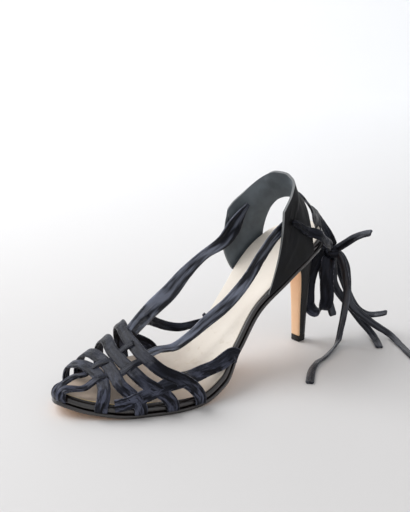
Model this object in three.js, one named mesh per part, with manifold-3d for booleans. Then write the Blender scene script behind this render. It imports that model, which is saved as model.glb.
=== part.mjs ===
// Caged high heel, left shoe, as the separate pieces that a shoemaker puts together.
// Millimetres. +X points to the toe, +Y to the outer side of the foot, +Z is up.
// The origin is the middle of the heel tip's underside, on the floor.

import * as THREE from "three";
import { mergeVertices } from "three/addons/utils/BufferGeometryUtils.js";
import Module from "manifold-3d";

const wasm = await Module();
wasm.setup();

// Driving dimensions of the sole.
const soleLength = 195.5;
const seatOverhang = 7.5;
const ballWidth = 73;
const seatRise = 76.7;
const toeSpring = 6.3;
const seatRound = 24;
const toeRound = 26;
const footbedThickness = 3.2;
const outsoleThickness = 2.2;
const outsoleMargin = 0.8;
const sockThickness = 0.8;
const sockInset = 1.7;
const edgeBevel = 0.5;
const seam = 0.3;

// Driving dimensions of the heel.
const tipLength = 8;
const tipWidth = 6.8;
const topPieceHeight = 4.5;
const breastThickness = 1.2;
const heelInset = 1.2;
const breastReach = 28.5;

// Driving dimensions of the straps, the collar and the ties.
const vampHeight = 40;
const strapThickness = 1.4;
const cageStrapWidth = 7.6;
const laneWidth = 5.6;
const toeBandWidth = 9.6;
const sideStrapWidth = 9;
const ankleStrapWidth = 8.6;
const collarHeight = 40;
const collarWall = 1.6;
const collarLap = 1.4;
const collarReachInner = 54.5;
const collarReachOuter = 60.5;
const keyholeHeight = 21;
const keyholeFront = 24.5;
const slitLength = 11;
const slitWidth = 3;
const wrapWidth = 7;
const tieWidth = 6;
const tieThickness = 1.2;
const knotWidth = 10;

// The insole's edge line, a row for each section from the heel's back to the toe.
// at is a share of the sole's length, rise of the seat's rise, spring of the toe spring,
// outer and inner are half widths as shares of the ball's width, before the ends are rounded.
const soleSections = [
  { at: 0, rise: 1, spring: 0, outer: 0.285, inner: 0.275 },
  { at: 0.043, rise: 0.965, spring: 0, outer: 0.298, inner: 0.28 },
  { at: 0.12, rise: 0.894, spring: 0, outer: 0.328, inner: 0.288 },
  { at: 0.18, rise: 0.822, spring: 0, outer: 0.352, inner: 0.284 },
  { at: 0.247, rise: 0.712, spring: 0, outer: 0.345, inner: 0.258 },
  { at: 0.349, rise: 0.493, spring: 0, outer: 0.295, inner: 0.192 },
  { at: 0.45, rise: 0.245, spring: 0, outer: 0.356, inner: 0.158 },
  { at: 0.552, rise: 0.079, spring: 0, outer: 0.507, inner: 0.308 },
  { at: 0.64, rise: 0.01, spring: 0, outer: 0.542, inner: 0.45 },
  { at: 0.704, rise: 0, spring: 0, outer: 0.525, inner: 0.49 },
  { at: 0.831, rise: 0, spring: 0, outer: 0.405, inner: 0.465 },
  { at: 0.937, rise: 0, spring: 0.38, outer: 0.252, inner: 0.342 },
  { at: 1, rise: 0, spring: 1, outer: 0.164, inner: 0.255 },
];

// Height of the last's ridge above the insole, as a share of the vamp's height.
const ridgeSections = [
  { at: 0.527, height: 1.52 },
  { at: 0.603, height: 1.22 },
  { at: 0.679, height: 0.93 },
  { at: 0.756, height: 0.63 },
  { at: 0.832, height: 0.4 },
  { at: 0.908, height: 0.215 },
  { at: 0.969, height: 0.13 },
  { at: 1, height: 0.11 },
];

// How the heel grows from its tip, 0, to the seat, 1, in front, behind and to the sides.
// up is a share of the seat's rise.
const heelSections = [
  { up: 0, front: 0, back: 0, half: 0 },
  { up: 0.3, front: 0.06, back: 0.1, half: 0.03 },
  { up: 0.5, front: 0.1, back: 0.2, half: 0.08 },
  { up: 0.64, front: 0.16, back: 0.3, half: 0.12 },
  { up: 0.77, front: 0.37, back: 0.45, half: 0.19 },
  { up: 0.85, front: 0.56, back: 0.65, half: 0.33 },
  { up: 0.91, front: 0.71, back: 0.8, half: 0.58 },
  { up: 0.96, front: 0.83, back: 0.92, half: 0.82 },
  { up: 1.06, front: 1, back: 1, half: 1 },
];

// The collar's rim from the inner front corner round the back to the outer one.
// at and out place it in plan, up is a share of the collar's height above the seat,
// bow is how far the wall below the rim bends towards the toe, a share of that height.
const rimSections = [
  { around: -1, at: 0.284, out: -0.329, up: 0.12, bow: 0.12 },
  { around: -0.95, at: 0.283, out: -0.328, up: 0.22, bow: 0.11 },
  { around: -0.86, at: 0.262, out: -0.322, up: 0.362, bow: 0.08 },
  { around: -0.7, at: 0.218, out: -0.301, up: 0.528, bow: 0.06 },
  { around: -0.5, at: 0.188, out: -0.24, up: 0.713, bow: 0.08 },
  { around: -0.3, at: 0.175, out: -0.151, up: 0.841, bow: 0.1 },
  { around: -0.05, at: 0.174, out: -0.041, up: 0.918, bow: 0.1 },
  { around: 0.15, at: 0.175, out: 0.068, up: 0.931, bow: 0.06 },
  { around: 0.35, at: 0.182, out: 0.164, up: 0.897, bow: 0.01 },
  { around: 0.55, at: 0.197, out: 0.24, up: 0.839, bow: -0.03 },
  { around: 0.8, at: 0.221, out: 0.281, up: 0.68, bow: -0.03 },
  { around: 1, at: 0.26, out: 0.308, up: 0.469, bow: -0.075 },
];

// Straps of the cage. over runs from the insole's inner edge, -1, over the ridge, 0, to its
// outer edge, 1, and at is a share of the sole's length. The first row of straps crosses the foot.
const crossStraps = [
  [{ over: -1, at: 0.88 }, { over: -0.49, at: 0.875 }, { over: -0.1, at: 0.871 },
    { over: 0.21, at: 0.885 }, { over: 0.6, at: 0.91 }, { over: 1, at: 0.923 }],
  [{ over: -1, at: 0.825 }, { over: -0.56, at: 0.82 }, { over: -0.1, at: 0.831 },
    { over: 0.18, at: 0.847 }, { over: 0.51, at: 0.857 }, { over: 1, at: 0.829 }],
  [{ over: -1, at: 0.746 }, { over: -0.45, at: 0.759 }, { over: -0.02, at: 0.8 },
    { over: 0.23, at: 0.81 }, { over: 0.62, at: 0.8 }, { over: 1, at: 0.742 }],
  [{ over: -1, at: 0.661 }, { over: -0.46, at: 0.702 }, { over: 0.05, at: 0.756 },
    { over: 0.33, at: 0.763 }, { over: 0.64, at: 0.74 }, { over: 1, at: 0.652 }],
];
const innerStay = [{ over: -0.42, at: 0.706 }, { over: -0.8, at: 0.655 }, { over: -1, at: 0.577 }];

// Straps along the foot, woven through the others. Both toe lanes start in the toe band.
const toeLanes = [
  [{ over: -0.12, at: 0.959 }, { over: -0.08, at: 0.931 }, { over: -0.06, at: 0.878 },
    { over: 0, at: 0.831 }, { over: 0, at: 0.788 }, { over: 0.03, at: 0.752 }],
  [{ over: 0.3, at: 0.959 }, { over: 0.2, at: 0.926 }, { over: 0.15, at: 0.878 },
    { over: 0.25, at: 0.832 }, { over: 0.26, at: 0.788 }, { over: 0.25, at: 0.748 }],
];
// How far each toe band starts from the tip's middle, as a share of its width.
const toeBandBeside = [-0.16, 0.3];
const outerLane = [{ over: 0.93, at: 0.894 }, { over: 0.83, at: 0.837 }, { over: 0.78, at: 0.786 },
  { over: 0.75, at: 0.748 }, { over: 0.78, at: 0.71 }];

// Straps that leave the cage and cross open space. out is a share of the ball's width and above
// the height over the insole, a share of the vamp's height.
const innerAnkleStrap = [
  { at: 0.726, out: -0.103, above: 0.75 },
  { at: 0.655, out: -0.21, above: 0.8 },
  { at: 0.584, out: -0.315, above: 0.77 },
  { at: 0.515, out: -0.336, above: 0.78 },
  { at: 0.448, out: -0.342, above: 0.8 },
  { at: 0.381, out: -0.322, above: 0.72 },
  { at: 0.318, out: -0.258, above: 0.64 },
  { at: 0.277, out: -0.258, above: 0.65 },
  { at: 0.246, out: -0.264, above: 0.71 },
  { at: 0.211, out: -0.262, above: 0.77 },
];
const outerAnkleStrap = [
  { at: 0.76, out: 0.164, above: 0.67 },
  { at: 0.724, out: 0.116, above: 0.57 },
  { at: 0.677, out: 0.082, above: 0.5 },
  { at: 0.609, out: 0.068, above: 0.41 },
  { at: 0.549, out: 0.089, above: 0.44 },
  { at: 0.496, out: 0.11, above: 0.46 },
  { at: 0.419, out: 0.151, above: 0.42 },
  { at: 0.359, out: 0.192, above: 0.45 },
  { at: 0.317, out: 0.233, above: 0.62 },
  { at: 0.279, out: 0.274, above: 0.75 },
  { at: 0.232, out: 0.283, above: 0.75 },
];

// Width of the ankle straps from the cage, 0, to the collar, 1, as a share of their nominal width.
const innerAnkleWidths = [
  { share: 0, wide: 0.95 },
  { share: 0.35, wide: 1.25 },
  { share: 0.66, wide: 0.8 },
  { share: 0.84, wide: 0.92 },
  { share: 1, wide: 0.75 },
];
const outerAnkleWidths = [
  { share: 0, wide: 0.75 },
  { share: 0.3, wide: 0.7 },
  { share: 0.5, wide: 0.92 },
  { share: 1, wide: 0.86 },
];
const innerSideStrap = [
  { at: 0.637, out: -0.21, above: 0.76 },
  { at: 0.586, out: -0.342, above: 0.54 },
  { at: 0.529, out: -0.342, above: 0.27 },
  { at: 0.479, out: -0.301, above: 0.05 },
  { at: 0.44, out: -0.233, above: -0.04 },
  { at: 0.414, out: -0.171, above: -0.06 },
];
const outerSideStrap = [
  { at: 0.654, out: 0.455, above: 0.28 },
  { at: 0.599, out: 0.43, above: 0.23 },
  { at: 0.542, out: 0.415, above: 0.13 },
];

// Slits that the ankle straps pass through, placed on the collar's wall.
const slits = [
  { around: -0.58, height: 0.7, lean: 40 },
  { around: 0.83, height: 0.7, lean: 40 },
];

// Where the ties run over the collar's outside to the back, and then down to the knot.
const innerTieOnCollar = [
  { around: -0.58, height: 0.7 }, { around: -0.45, height: 0.68 }, { around: -0.3, height: 0.65 },
  { around: -0.15, height: 0.62 }, { around: 0, height: 0.56 }, { around: 0.12, height: 0.49 },
  { around: 0.2, height: 0.39 },
];
const outerTieOnCollar = [
  { around: 0.83, height: 0.7 }, { around: 0.74, height: 0.62 }, { around: 0.64, height: 0.5 },
  { around: 0.55, height: 0.38 }, { around: 0.46, height: 0.28 },
];
const innerTieDrop = [
  [3.6, 15, 90.8], [-3.5, 13.6, 88], [-9, 12, 84.8], [-13.4, 11, 80.5], [-16.2, 9.8, 73], [-18, 7.9, 64.7],
];
const outerTieDrop = [
  [14.5, 27.4, 83], [8.5, 26.4, 78], [0.5, 22.8, 73.5], [-8, 16.4, 69], [-14, 11, 66], [-18, 7.9, 64.7],
];
const knotCentre = new THREE.Vector3(-21, 5, 60.4);

// The loop and the loose ends below the knot, as they hang and lie. Each has its points and the
// way its flat face looks from its start to its end.
const tieRuns = {
  tie_end_short: {
    points: [[-22.3, 9.2, 63.2], [-22.8, 16, 68.4], [-22, 24, 74.2], [-21, 33, 79], [-20.4, 39, 81.4]],
    faces: [[0.5, -0.4, 0.8], [0.6, -0.3, 0.7], [0.7, -0.3, 0.7]],
  },
  tie_end_front: {
    points: [[-22, 11.6, 59.4], [-23.6, 15.2, 50.4], [-22.6, 19.4, 39.5], [-20, 22, 29.5], [-17.5, 23, 19],
      [-15.4, 23, 9.6], [-13, 23.8, 3.6], [-5, 27, 1.2], [9, 33, 0.8], [18, 35.5, 0.8], [30, 42, 0.8],
      [46, 55.5, 0.8]],
    faces: [[0.6, 0.8, 0], [0.6, 0.7, 0.2], [0.4, 0.3, 0.7], [0, 0, 1], [0, 0, 1]],
  },
  tie_end_side: {
    points: [[-22.8, 5, 55], [-24.6, 5, 46], [-25.2, 5.6, 38.2], [-28, 8, 30.6], [-33.8, 13, 21.6],
      [-38.6, 20.4, 11.4], [-42, 28, 3.4], [-38, 36, 1.2], [-32, 44, 0.9]],
    faces: [[0.7, 0.7, 0.1], [0.6, 0.7, 0.3], [0.5, 0.4, 0.7], [0, 0, 1]],
  },
  tie_end_long: {
    points: [[-25.2, 9.2, 58.4], [-29.4, 11.4, 50.6], [-30.4, 13, 41], [-29.8, 14.6, 32.5], [-30.4, 16.8, 24.6],
      [-35.6, 21.8, 17.6], [-42, 28, 11], [-50.5, 36.2, 3.8], [-46.4, 50, 1.1], [-39.5, 63.5, 0.8],
      [-32, 78, 0.8]],
    faces: [[0.6, 0.8, 0], [0.6, 0.7, 0.2], [0.5, 0.6, 0.6], [0, 0.1, 1], [0, 0, 1]],
  },
  tie_end_low: {
    points: [[-25.6, 3.4, 58], [-33, 2.4, 46], [-38, 4, 34], [-41.6, 7.6, 23], [-45.6, 11.6, 15.4],
      [-49.4, 17, 12.4], [-53.5, 23.5, 13.6], [-56, 28.5, 15.6]],
    faces: [[0.6, 0.8, 0], [0.6, 0.6, 0.5], [0.5, 0.4, 0.8], [0.4, 0, 0.9]],
  },
  tie_end_inner: {
    points: [[-20.4, 0.2, 55.4], [-19.6, -0.4, 47], [-20, 1.4, 38], [-21, 4.6, 29], [-21.8, 7.2, 21],
      [-22.6, 9.4, 15]],
    faces: [[0.7, 0.7, 0.1], [0.6, 0.7, 0.2], [0.6, 0.7, 0.3]],
  },
  tie_loop: {
    points: [[-16.8, 1.4, 58.4], [-12.6, -1.4, 50.5], [-10.2, -3.2, 40], [-9.8, -3.4, 29.4],
      [-10.6, -2.4, 21.6], [-13.6, 1.6, 17.6], [-16, 6, 20.6], [-16.6, 8, 28], [-16.4, 7.4, 38], [-17, 6.4, 47],
      [-18, 6, 54.8]],
    faces: [[0.6, 0.8, 0], [0.7, 0.7, 0], [0.5, 0.3, 0.8], [-0.7, -0.7, 0], [-0.7, -0.7, 0]],
  },
};
const stationX = (at) => at * soleLength - seatOverhang;

// A smooth curve through one column of a table that never overshoots its rows and runs on
// straight past its ends.
function columnCurve(rows, key, column) {
  const t = rows.map((row) => row[key]);
  const v = rows.map((row) => row[column]);
  const slopes = v.slice(1).map((value, i) => (value - v[i]) / (t[i + 1] - t[i]));
  const bend = v.map((value, i) => {
    if (i === 0) return slopes[0];
    if (i === v.length - 1) return slopes[i - 1];
    const [before, after] = [slopes[i - 1], slopes[i]];
    if (before * after <= 0) return 0;
    return (2 * before * after) / (before + after);
  });
  return (at) => {
    let i = 0;
    while (i < t.length - 2 && at > t[i + 1]) i += 1;
    if (at < t[0]) return v[0] + bend[0] * (at - t[0]);
    if (at > t.at(-1)) return v.at(-1) + bend.at(-1) * (at - t.at(-1));
    const span = t[i + 1] - t[i];
    const u = Math.min(Math.max((at - t[i]) / span, 0), 1);
    const a = 2 * u ** 3 - 3 * u ** 2 + 1;
    const b = (u ** 3 - 2 * u ** 2 + u) * span;
    const c = (u ** 3 - u ** 2) * span;
    return a * v[i] + b * bend[i] + (1 - a) * v[i + 1] + c * bend[i + 1];
  };
}

const riseAt = columnCurve(soleSections, "at", "rise");
const springAt = columnCurve(soleSections, "at", "spring");
const outerAt = columnCurve(soleSections, "at", "outer");
const innerAt = columnCurve(soleSections, "at", "inner");
const ridgeAt = columnCurve(ridgeSections, "at", "height");
const soleStack = footbedThickness + seam + outsoleThickness;

// Top of the footbed above the floor.
const footbedZ = (at) => soleStack + riseAt(at) * seatRise + springAt(at) * toeSpring;

// Outline of a sole layer: centre and half width at a station.
function outline(at, inset) {
  const along = at * soleLength;
  const fromHeel = (seatRound - along) / (seatRound - inset);
  const fromToe = (toeRound - soleLength + along) / (toeRound - inset);
  const past = Math.min(Math.max(fromHeel, fromToe, 0), 1);
  const blunt = ((outerAt(at) + innerAt(at)) / 2) * ballWidth - inset;
  const middle = ((outerAt(at) - innerAt(at)) / 2) * ballWidth;
  return { middle, half: blunt * Math.sqrt(1 - past * past) };
}

// A point in the sole: station, distance out from the centre line and depth below the insole.
function solePoint(at, y, depth) {
  const step = 0.002;
  const slope = (footbedZ(at + step) - footbedZ(at - step)) / (2 * step * soleLength);
  const steep = Math.hypot(1, slope);
  return new THREE.Vector3(stationX(at) + (depth * slope) / steep, y, footbedZ(at) - depth / steep);
}

// A closed mesh through rings of points, each ring with the same number of them.
function loft(rings) {
  const count = rings[0].length;
  const points = rings.flat();
  const index = [];
  for (let r = 0; r < rings.length - 1; r += 1) {
    for (let k = 0; k < count; k += 1) {
      const a = r * count + k;
      const b = r * count + ((k + 1) % count);
      index.push(a, b, a + count, b, b + count, a + count);
    }
  }
  const last = (rings.length - 1) * count;
  for (const [start, flip] of [[0, true], [last, false]]) {
    const low = [start];
    for (let k = 1; k < count; k += 1) low.push(start + k);
    let [i, j] = [0, count - 1];
    while (j - i > 1) {
      const even = (i + count - 1 - j) % 2 === 0;
      const tri = even ? [low[i], low[i + 1], low[j]] : [low[i], low[j - 1], low[j]];
      index.push(...(flip ? [tri[0], tri[2], tri[1]] : tri));
      if (even) i += 1;
      else j -= 1;
    }
  }
  const geometry = new THREE.BufferGeometry();
  geometry.setAttribute("position", new THREE.Float32BufferAttribute(points.flatMap((p) => p.toArray()), 3));
  geometry.setIndex(index);
  return facingOut(geometry);
}

// Turns a closed mesh inside out if its faces point in.
function facingOut(geometry) {
  const p = geometry.attributes.position;
  const index = geometry.index.array;
  const [a, b, c] = [new THREE.Vector3(), new THREE.Vector3(), new THREE.Vector3()];
  let volume = 0;
  for (let i = 0; i < index.length; i += 3) {
    a.fromBufferAttribute(p, index[i]);
    b.fromBufferAttribute(p, index[i + 1]);
    c.fromBufferAttribute(p, index[i + 2]);
    volume += a.dot(b.cross(c));
  }
  if (volume < 0) geometry.setIndex(Array.from(index).reverse());
  return geometry;
}

function solid(geometry) {
  const plain = geometry.clone();
  for (const name of ["normal", "uv"]) plain.deleteAttribute(name);
  const merged = mergeVertices(plain, 1e-4);
  return new wasm.Manifold(new wasm.Mesh({
    numProp: 3,
    vertProperties: new Float32Array(merged.attributes.position.array),
    triVerts: new Uint32Array(merged.index.array),
  }));
}

function geometryOf(manifold) {
  const mesh = manifold.getMesh();
  const geometry = new THREE.BufferGeometry();
  geometry.setAttribute("position", new THREE.BufferAttribute(new Float32Array(mesh.vertProperties), 3));
  geometry.setIndex(new THREE.BufferAttribute(new Uint32Array(mesh.triVerts), 1));
  return geometry;
}

// One layer of the sole between two depths, its edges bevelled.
function soleLayer(top, bottom, inset, stations) {
  const first = (inset + 0.05) / soleLength;
  const rings = [];
  for (let i = 0; i <= stations; i += 1) {
    const even = (1 - Math.cos((Math.PI * i) / stations)) / 2;
    const at = first + (1 - 2 * first) * even;
    const { middle, half } = outline(at, inset);
    const bevel = Math.min(edgeBevel, half / 2, (bottom - top) / 3);
    const corners = [
      [half - bevel, top], [half, top + bevel], [half, bottom - bevel], [half - bevel, bottom],
      [bevel - half, bottom], [-half, bottom - bevel], [-half, top + bevel], [bevel - half, top],
    ];
    rings.push(corners.map(([y, depth]) => solePoint(at, middle + y, depth)));
  }
  return loft(rings);
}

// Everything above the sole's underside, to trim the heel with.
function aboveSole() {
  const rings = [];
  for (let i = 0; i <= 24; i += 1) {
    const at = -0.12 + (0.55 * i) / 24;
    const wide = ballWidth / 2;
    const under = soleStack + seam;
    const top = 3 * soleStack;
    rings.push([[-wide, under], [wide, under], [wide, -top], [-wide, -top]]
      .map(([y, depth]) => solePoint(at, y, depth)));
  }
  return loft(rings);
}

const frontAt = columnCurve(heelSections, "up", "front");
const backAt = columnCurve(heelSections, "up", "back");
const halfAt = columnCurve(heelSections, "up", "half");

// The heel's outline at one height: a flat breast in front, round behind.
function heelOutline(up) {
  const seat = soleSections[0];
  const seatHalf = ((seat.outer + seat.inner) / 2) * ballWidth - heelInset;
  const grown = (tip, full, share) => tip + (full - tip) * share;
  return {
    front: grown(tipLength / 2, breastReach, frontAt(up)),
    back: grown(tipLength / 2, seatOverhang - heelInset, backAt(up)),
    half: grown(tipWidth / 2, seatHalf, halfAt(up)),
    z: up * seatRise,
    middle: outline(seatOverhang / soleLength, 0).middle * halfAt(up),
  };
}

function heelRing(up, front, grow) {
  const shape = heelOutline(up);
  const half = shape.half + grow;
  const ring = [new THREE.Vector3(shape.front - front, half + shape.middle, shape.z)];
  const arc = 9;
  for (let k = 0; k <= arc; k += 1) {
    const turn = (Math.PI * k) / arc;
    const x = -Math.sin(turn) * (shape.back + grow) * 0.999;
    ring.push(new THREE.Vector3(x, Math.cos(turn) * half + shape.middle, shape.z));
  }
  ring.push(new THREE.Vector3(shape.front - front, shape.middle - half, shape.z));
  return ring;
}

function heelLevels(from) {
  const levels = [];
  for (let i = 0; i <= 16; i += 1) levels.push(from + (1.06 - from) * (i / 16) ** 0.8);
  return levels;
}

function heelBody() {
  const from = (topPieceHeight + seam) / seatRise;
  const rings = heelLevels(from).map((up) => heelRing(up, breastThickness + seam, 0));
  return geometryOf(solid(loft(rings)).subtract(solid(aboveSole())));
}

function breastCover() {
  const from = (topPieceHeight + seam) / seatRise;
  const rings = heelLevels(from).map((up) => {
    const { front, half, middle, z } = heelOutline(up);
    return [[front, half], [front, -half], [front - breastThickness, -half], [front - breastThickness, half]]
      .map(([x, y]) => new THREE.Vector3(x, y + middle, z));
  });
  return geometryOf(solid(loft(rings)).subtract(solid(aboveSole())));
}

function topPiece() {
  const ring = (z, grow) => heelRing(0, 0, grow).map((p) => new THREE.Vector3(p.x, p.y, z));
  return loft([ring(0, -0.4), ring(0.5, 0), ring(topPieceHeight, 0)]);
}

// The last's surface over the insole. over is -1 at the inner edge, 0 on the ridge and 1 at the
// outer edge, and past an edge the surface runs straight down the footbed's side.
function lastPoint(at, over) {
  const { middle, half } = outline(at, -seam);
  const turn = Math.min(Math.abs(over), 1) * (Math.PI / 2);
  const height = ridgeAt(at) * vampHeight;
  const out = Math.sign(over) * Math.sin(turn) ** 0.8 * half;
  const down = Math.max(Math.abs(over) - 1, 0) * footbedThickness;
  return new THREE.Vector3(stationX(at), middle + out, footbedZ(at) + seam + height * Math.cos(turn) ** 0.8 - down);
}

function lastNormal(at, over) {
  const [da, dv] = [0.004, 0.02];
  const side = Math.min(Math.max(over, -0.98), 0.98);
  const along = lastPoint(at + da, side).sub(lastPoint(at - da, side));
  const across = lastPoint(at, side + dv).sub(lastPoint(at, side - dv));
  return along.cross(across).normalize();
}

// A point that lies off the last's surface by the lift.
const onLast = (at, over, lift) => lastPoint(at, over).addScaledVector(lastNormal(at, over), lift);

// A flat strap: centre points, the way its face looks at each, width, thickness and lift.
function strap(points, faces, width, thickness, lift) {
  const last = points.length - 1;
  const rings = points.map((point, i) => {
    const forward = points[Math.min(i + 1, last)].clone().sub(points[Math.max(i - 1, 0)]).normalize();
    const side = forward.clone().cross(faces[i]).normalize();
    const up = side.clone().cross(forward).normalize();
    const wide = (typeof width === "function" ? width(i / last) : width) / 2;
    return [[wide, lift], [wide, lift + thickness], [-wide, lift + thickness], [-wide, lift]]
      .map(([s, h]) => point.clone().addScaledVector(side, s).addScaledVector(up, h));
  });
  return loft(rings);
}

function smoothPath(points, steps) {
  return new THREE.CatmullRomCurve3(points, false, "centripetal").getSpacedPoints(steps);
}

// A strap on the last. weave lifts it over and under the cross straps as it passes them, and
// an end that reaches the insole's edge runs down the footbed's side.
function lastStrap(rows, width, lift, steps, weave, first = true, last = true) {
  const scale = 4;
  const curve = new THREE.SplineCurve(rows.map(({ over, at }) => new THREE.Vector2(over, at * scale)));
  const places = curve.getSpacedPoints(steps).map((p) => ({ at: p.y / scale, over: p.x }));
  if (first) places.unshift({ at: places[0].at, over: Math.sign(places[0].over) * 2 });
  if (last) places.push({ at: places.at(-1).at, over: Math.sign(places.at(-1).over) * 2 });
  const crossing = 0.763;
  const spacing = 0.0428;
  const points = places.map(({ at, over }) => {
    const rise = weave * Math.cos((Math.PI * (at - crossing)) / spacing);
    return onLast(at, over, rise);
  });
  const faces = places.map(({ at, over }) => lastNormal(at, over));
  return strap(points, faces, width, strapThickness, lift);
}

const routePoint = ({ at, out, above }) =>
  new THREE.Vector3(stationX(at), out * ballWidth, footbedZ(at) + above * vampHeight);

// A strap through open space, its face turning between the directions given for it.
function freeStrap(points, looks, width, thickness, steps) {
  const path = smoothPath(points, steps);
  const faces = path.map((point, i) => {
    const place = (i / steps) * (looks.length - 1);
    const k = Math.min(Math.floor(place), looks.length - 2);
    return looks[k].clone().lerp(looks[k + 1], place - k).normalize();
  });
  return strap(path, faces, width, thickness, -thickness / 2);
}

const direction = (x, y, z) => new THREE.Vector3(x, y, z).normalize();

// A strap's end over the footbed's edge, down to the outsole and slanting back by a share.
function overEdge(at, side, slant) {
  const { middle, half } = outline(at, -seam - strapThickness / 2);
  const y = middle + side * half;
  return [solePoint(at, y, -1), solePoint(at - slant, y, footbedThickness)];
}

// A band of the toe, from the footbed's tip, a little beside its middle, up to a toe lane.
function toeBand(lane, beside) {
  const blunt = ((outerAt(1) + innerAt(1)) / 2) * ballWidth;
  const setBack = toeRound * (1 - Math.sqrt(1 - (beside / blunt) ** 2));
  const tip = stationX(1) + seam + strapThickness / 2 - setBack;
  const y = outline(0.995, 0).middle + beside;
  const z = footbedZ(1);
  const first = lane.slice(0, 2).map(({ over, at }) => lastPoint(at, over));
  const points = [
    new THREE.Vector3(tip, y, z - footbedThickness), new THREE.Vector3(tip + 0.2, y, z),
    new THREE.Vector3(tip - 1.6, y, z + 2.9), ...first,
  ];
  const looks = [direction(1, beside / blunt, 0), direction(1, beside / blunt, 0.3), direction(0.4, 0, 1),
    direction(0.2, 0, 1)];
  const narrowing = (share) => toeBandWidth * (1 - 0.5 * share);
  return freeStrap(points, looks, narrowing, strapThickness, 10);
}

const innerAnkleWide = columnCurve(innerAnkleWidths, "share", "wide");
const outerAnkleWide = columnCurve(outerAnkleWidths, "share", "wide");

function upper() {
  const pieces = crossStraps.map((rows) => lastStrap(rows, cageStrapWidth, 0.5, 22, 0));
  pieces.push(lastStrap(innerStay, cageStrapWidth, 0.2, 10, 0, true, false));
  toeLanes.forEach((rows, i) => {
    pieces.push(toeBand(rows, toeBandBeside[i] * toeBandWidth));
    pieces.push(lastStrap(rows, laneWidth, 0.5, 24, 0.55 * (i === 0 ? 1 : -1), false, false));
  });
  pieces.push(lastStrap(outerLane, cageStrapWidth, 0.3, 12, 0, false, false));
  const [inward, outward, skyward] = [direction(0.1, -1, 0.3), direction(0.2, 1, 0.3), direction(0, 0, 1)];
  const broad = (share) => ankleStrapWidth * innerAnkleWide(share);
  const slim = (share) => ankleStrapWidth * outerAnkleWide(share);
  pieces.push(freeStrap(innerAnkleStrap.map(routePoint),
    [direction(0.5, 0.75, 0.4), direction(0.3, 0.9, 0.3), direction(0.1, 1, 0.1)], broad, strapThickness, 26));
  pieces.push(freeStrap(outerAnkleStrap.map(routePoint),
    [skyward, direction(0, 0.6, 1), direction(0.2, 0.8, 0.5), outward, direction(0, 1, 0.1)],
    slim, strapThickness, 26));
  const innerEnd = overEdge(0.415, -1, 0);
  const low = direction(0.2, 0.7, 0.7);
  pieces.push(freeStrap([...innerSideStrap.map(routePoint), ...innerEnd], [direction(0, 1, 0.1), low, low,
    direction(-0.1, 1, -0.1)], (share) => sideStrapWidth * (0.8 - 0.25 * share), strapThickness, 20));
  const outerEnd = overEdge(0.478, 1, 0.008);
  const laneEnd = outerLane.slice(-2).map(({ over, at }) => onLast(at, over, strapThickness / 2));
  pieces.push(freeStrap([...laneEnd, ...outerSideStrap.map(routePoint), ...outerEnd],
    [outward, direction(0, 0.8, 1), direction(-0.2, 0.5, 1), outward], sideStrapWidth, strapThickness, 24));
  let whole = pieces.map(solid).reduce((sum, piece) => sum.add(piece));
  const cutters = [
    soleLayer(-seam, soleStack + seam, -seam, 40),
    soleLayer(-sockThickness - 2 * seam, 0, sockInset - seam, 40),
    soleLayer(footbedThickness, soleStack + seam, -outsoleMargin - seam, 40),
  ];
  for (const cutter of cutters) whole = whole.subtract(solid(cutter));
  return geometryOf(whole);
}

const rimAt = Object.fromEntries(["at", "out", "up", "bow"]
  .map((column) => [column, columnCurve(rimSections, "around", column)]));

// The collar's inner face. height is 0 at the insole's edge and 1 at the rim, and at -1 the
// wall ends on the footbed's side.
function collarPoint(around, height) {
  const seatShare = 0.4;
  const side = Math.abs(around);
  const reach = around < 0 ? collarReachInner : collarReachOuter;
  const along = side < seatShare
    ? seatRound * (1 - Math.cos((side / seatShare) * (Math.PI / 2)))
    : seatRound + ((side - seatShare) / (1 - seatShare)) * (reach - seatRound);
  const at = along / soleLength;
  const { middle, half } = outline(Math.max(at, 0.0005), -seam);
  const y = middle + Math.sign(around) * half;
  if (height < 0) return solePoint(at, y, -height * collarLap);
  const base = solePoint(at, y, 0);
  const rim = new THREE.Vector3(stationX(rimAt.at(around)), rimAt.out(around) * ballWidth,
    soleStack + seatRise + rimAt.up(around) * collarHeight);
  const bow = rimAt.bow(around) * collarHeight * Math.sin(Math.PI * height);
  return base.lerp(rim, height).add(new THREE.Vector3(bow, 0, 0));
}

function collarNormal(around, height) {
  const [da, dh] = [0.01, 0.02];
  const h = Math.min(Math.max(height, 0.03), 0.97);
  const a = Math.min(Math.max(around, -0.985), 0.985);
  const along = collarPoint(a + da, h).sub(collarPoint(a - da, h));
  const rise = collarPoint(a, h + dh).sub(collarPoint(a, h - dh));
  const normal = rise.cross(along).normalize();
  if (height <= 0) normal.setZ(0).normalize();
  return normal;
}

// A block whose outline is drawn from the side and that runs across the whole shoe.
function acrossShoe(outlinePoints) {
  const shape = new THREE.Shape(outlinePoints.map(([x, z]) => new THREE.Vector2(x, z)));
  const geometry = new THREE.ExtrudeGeometry(shape, { depth: 2 * ballWidth, bevelEnabled: false });
  return geometry.rotateX(Math.PI / 2).translate(0, ballWidth, 0);
}

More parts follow.
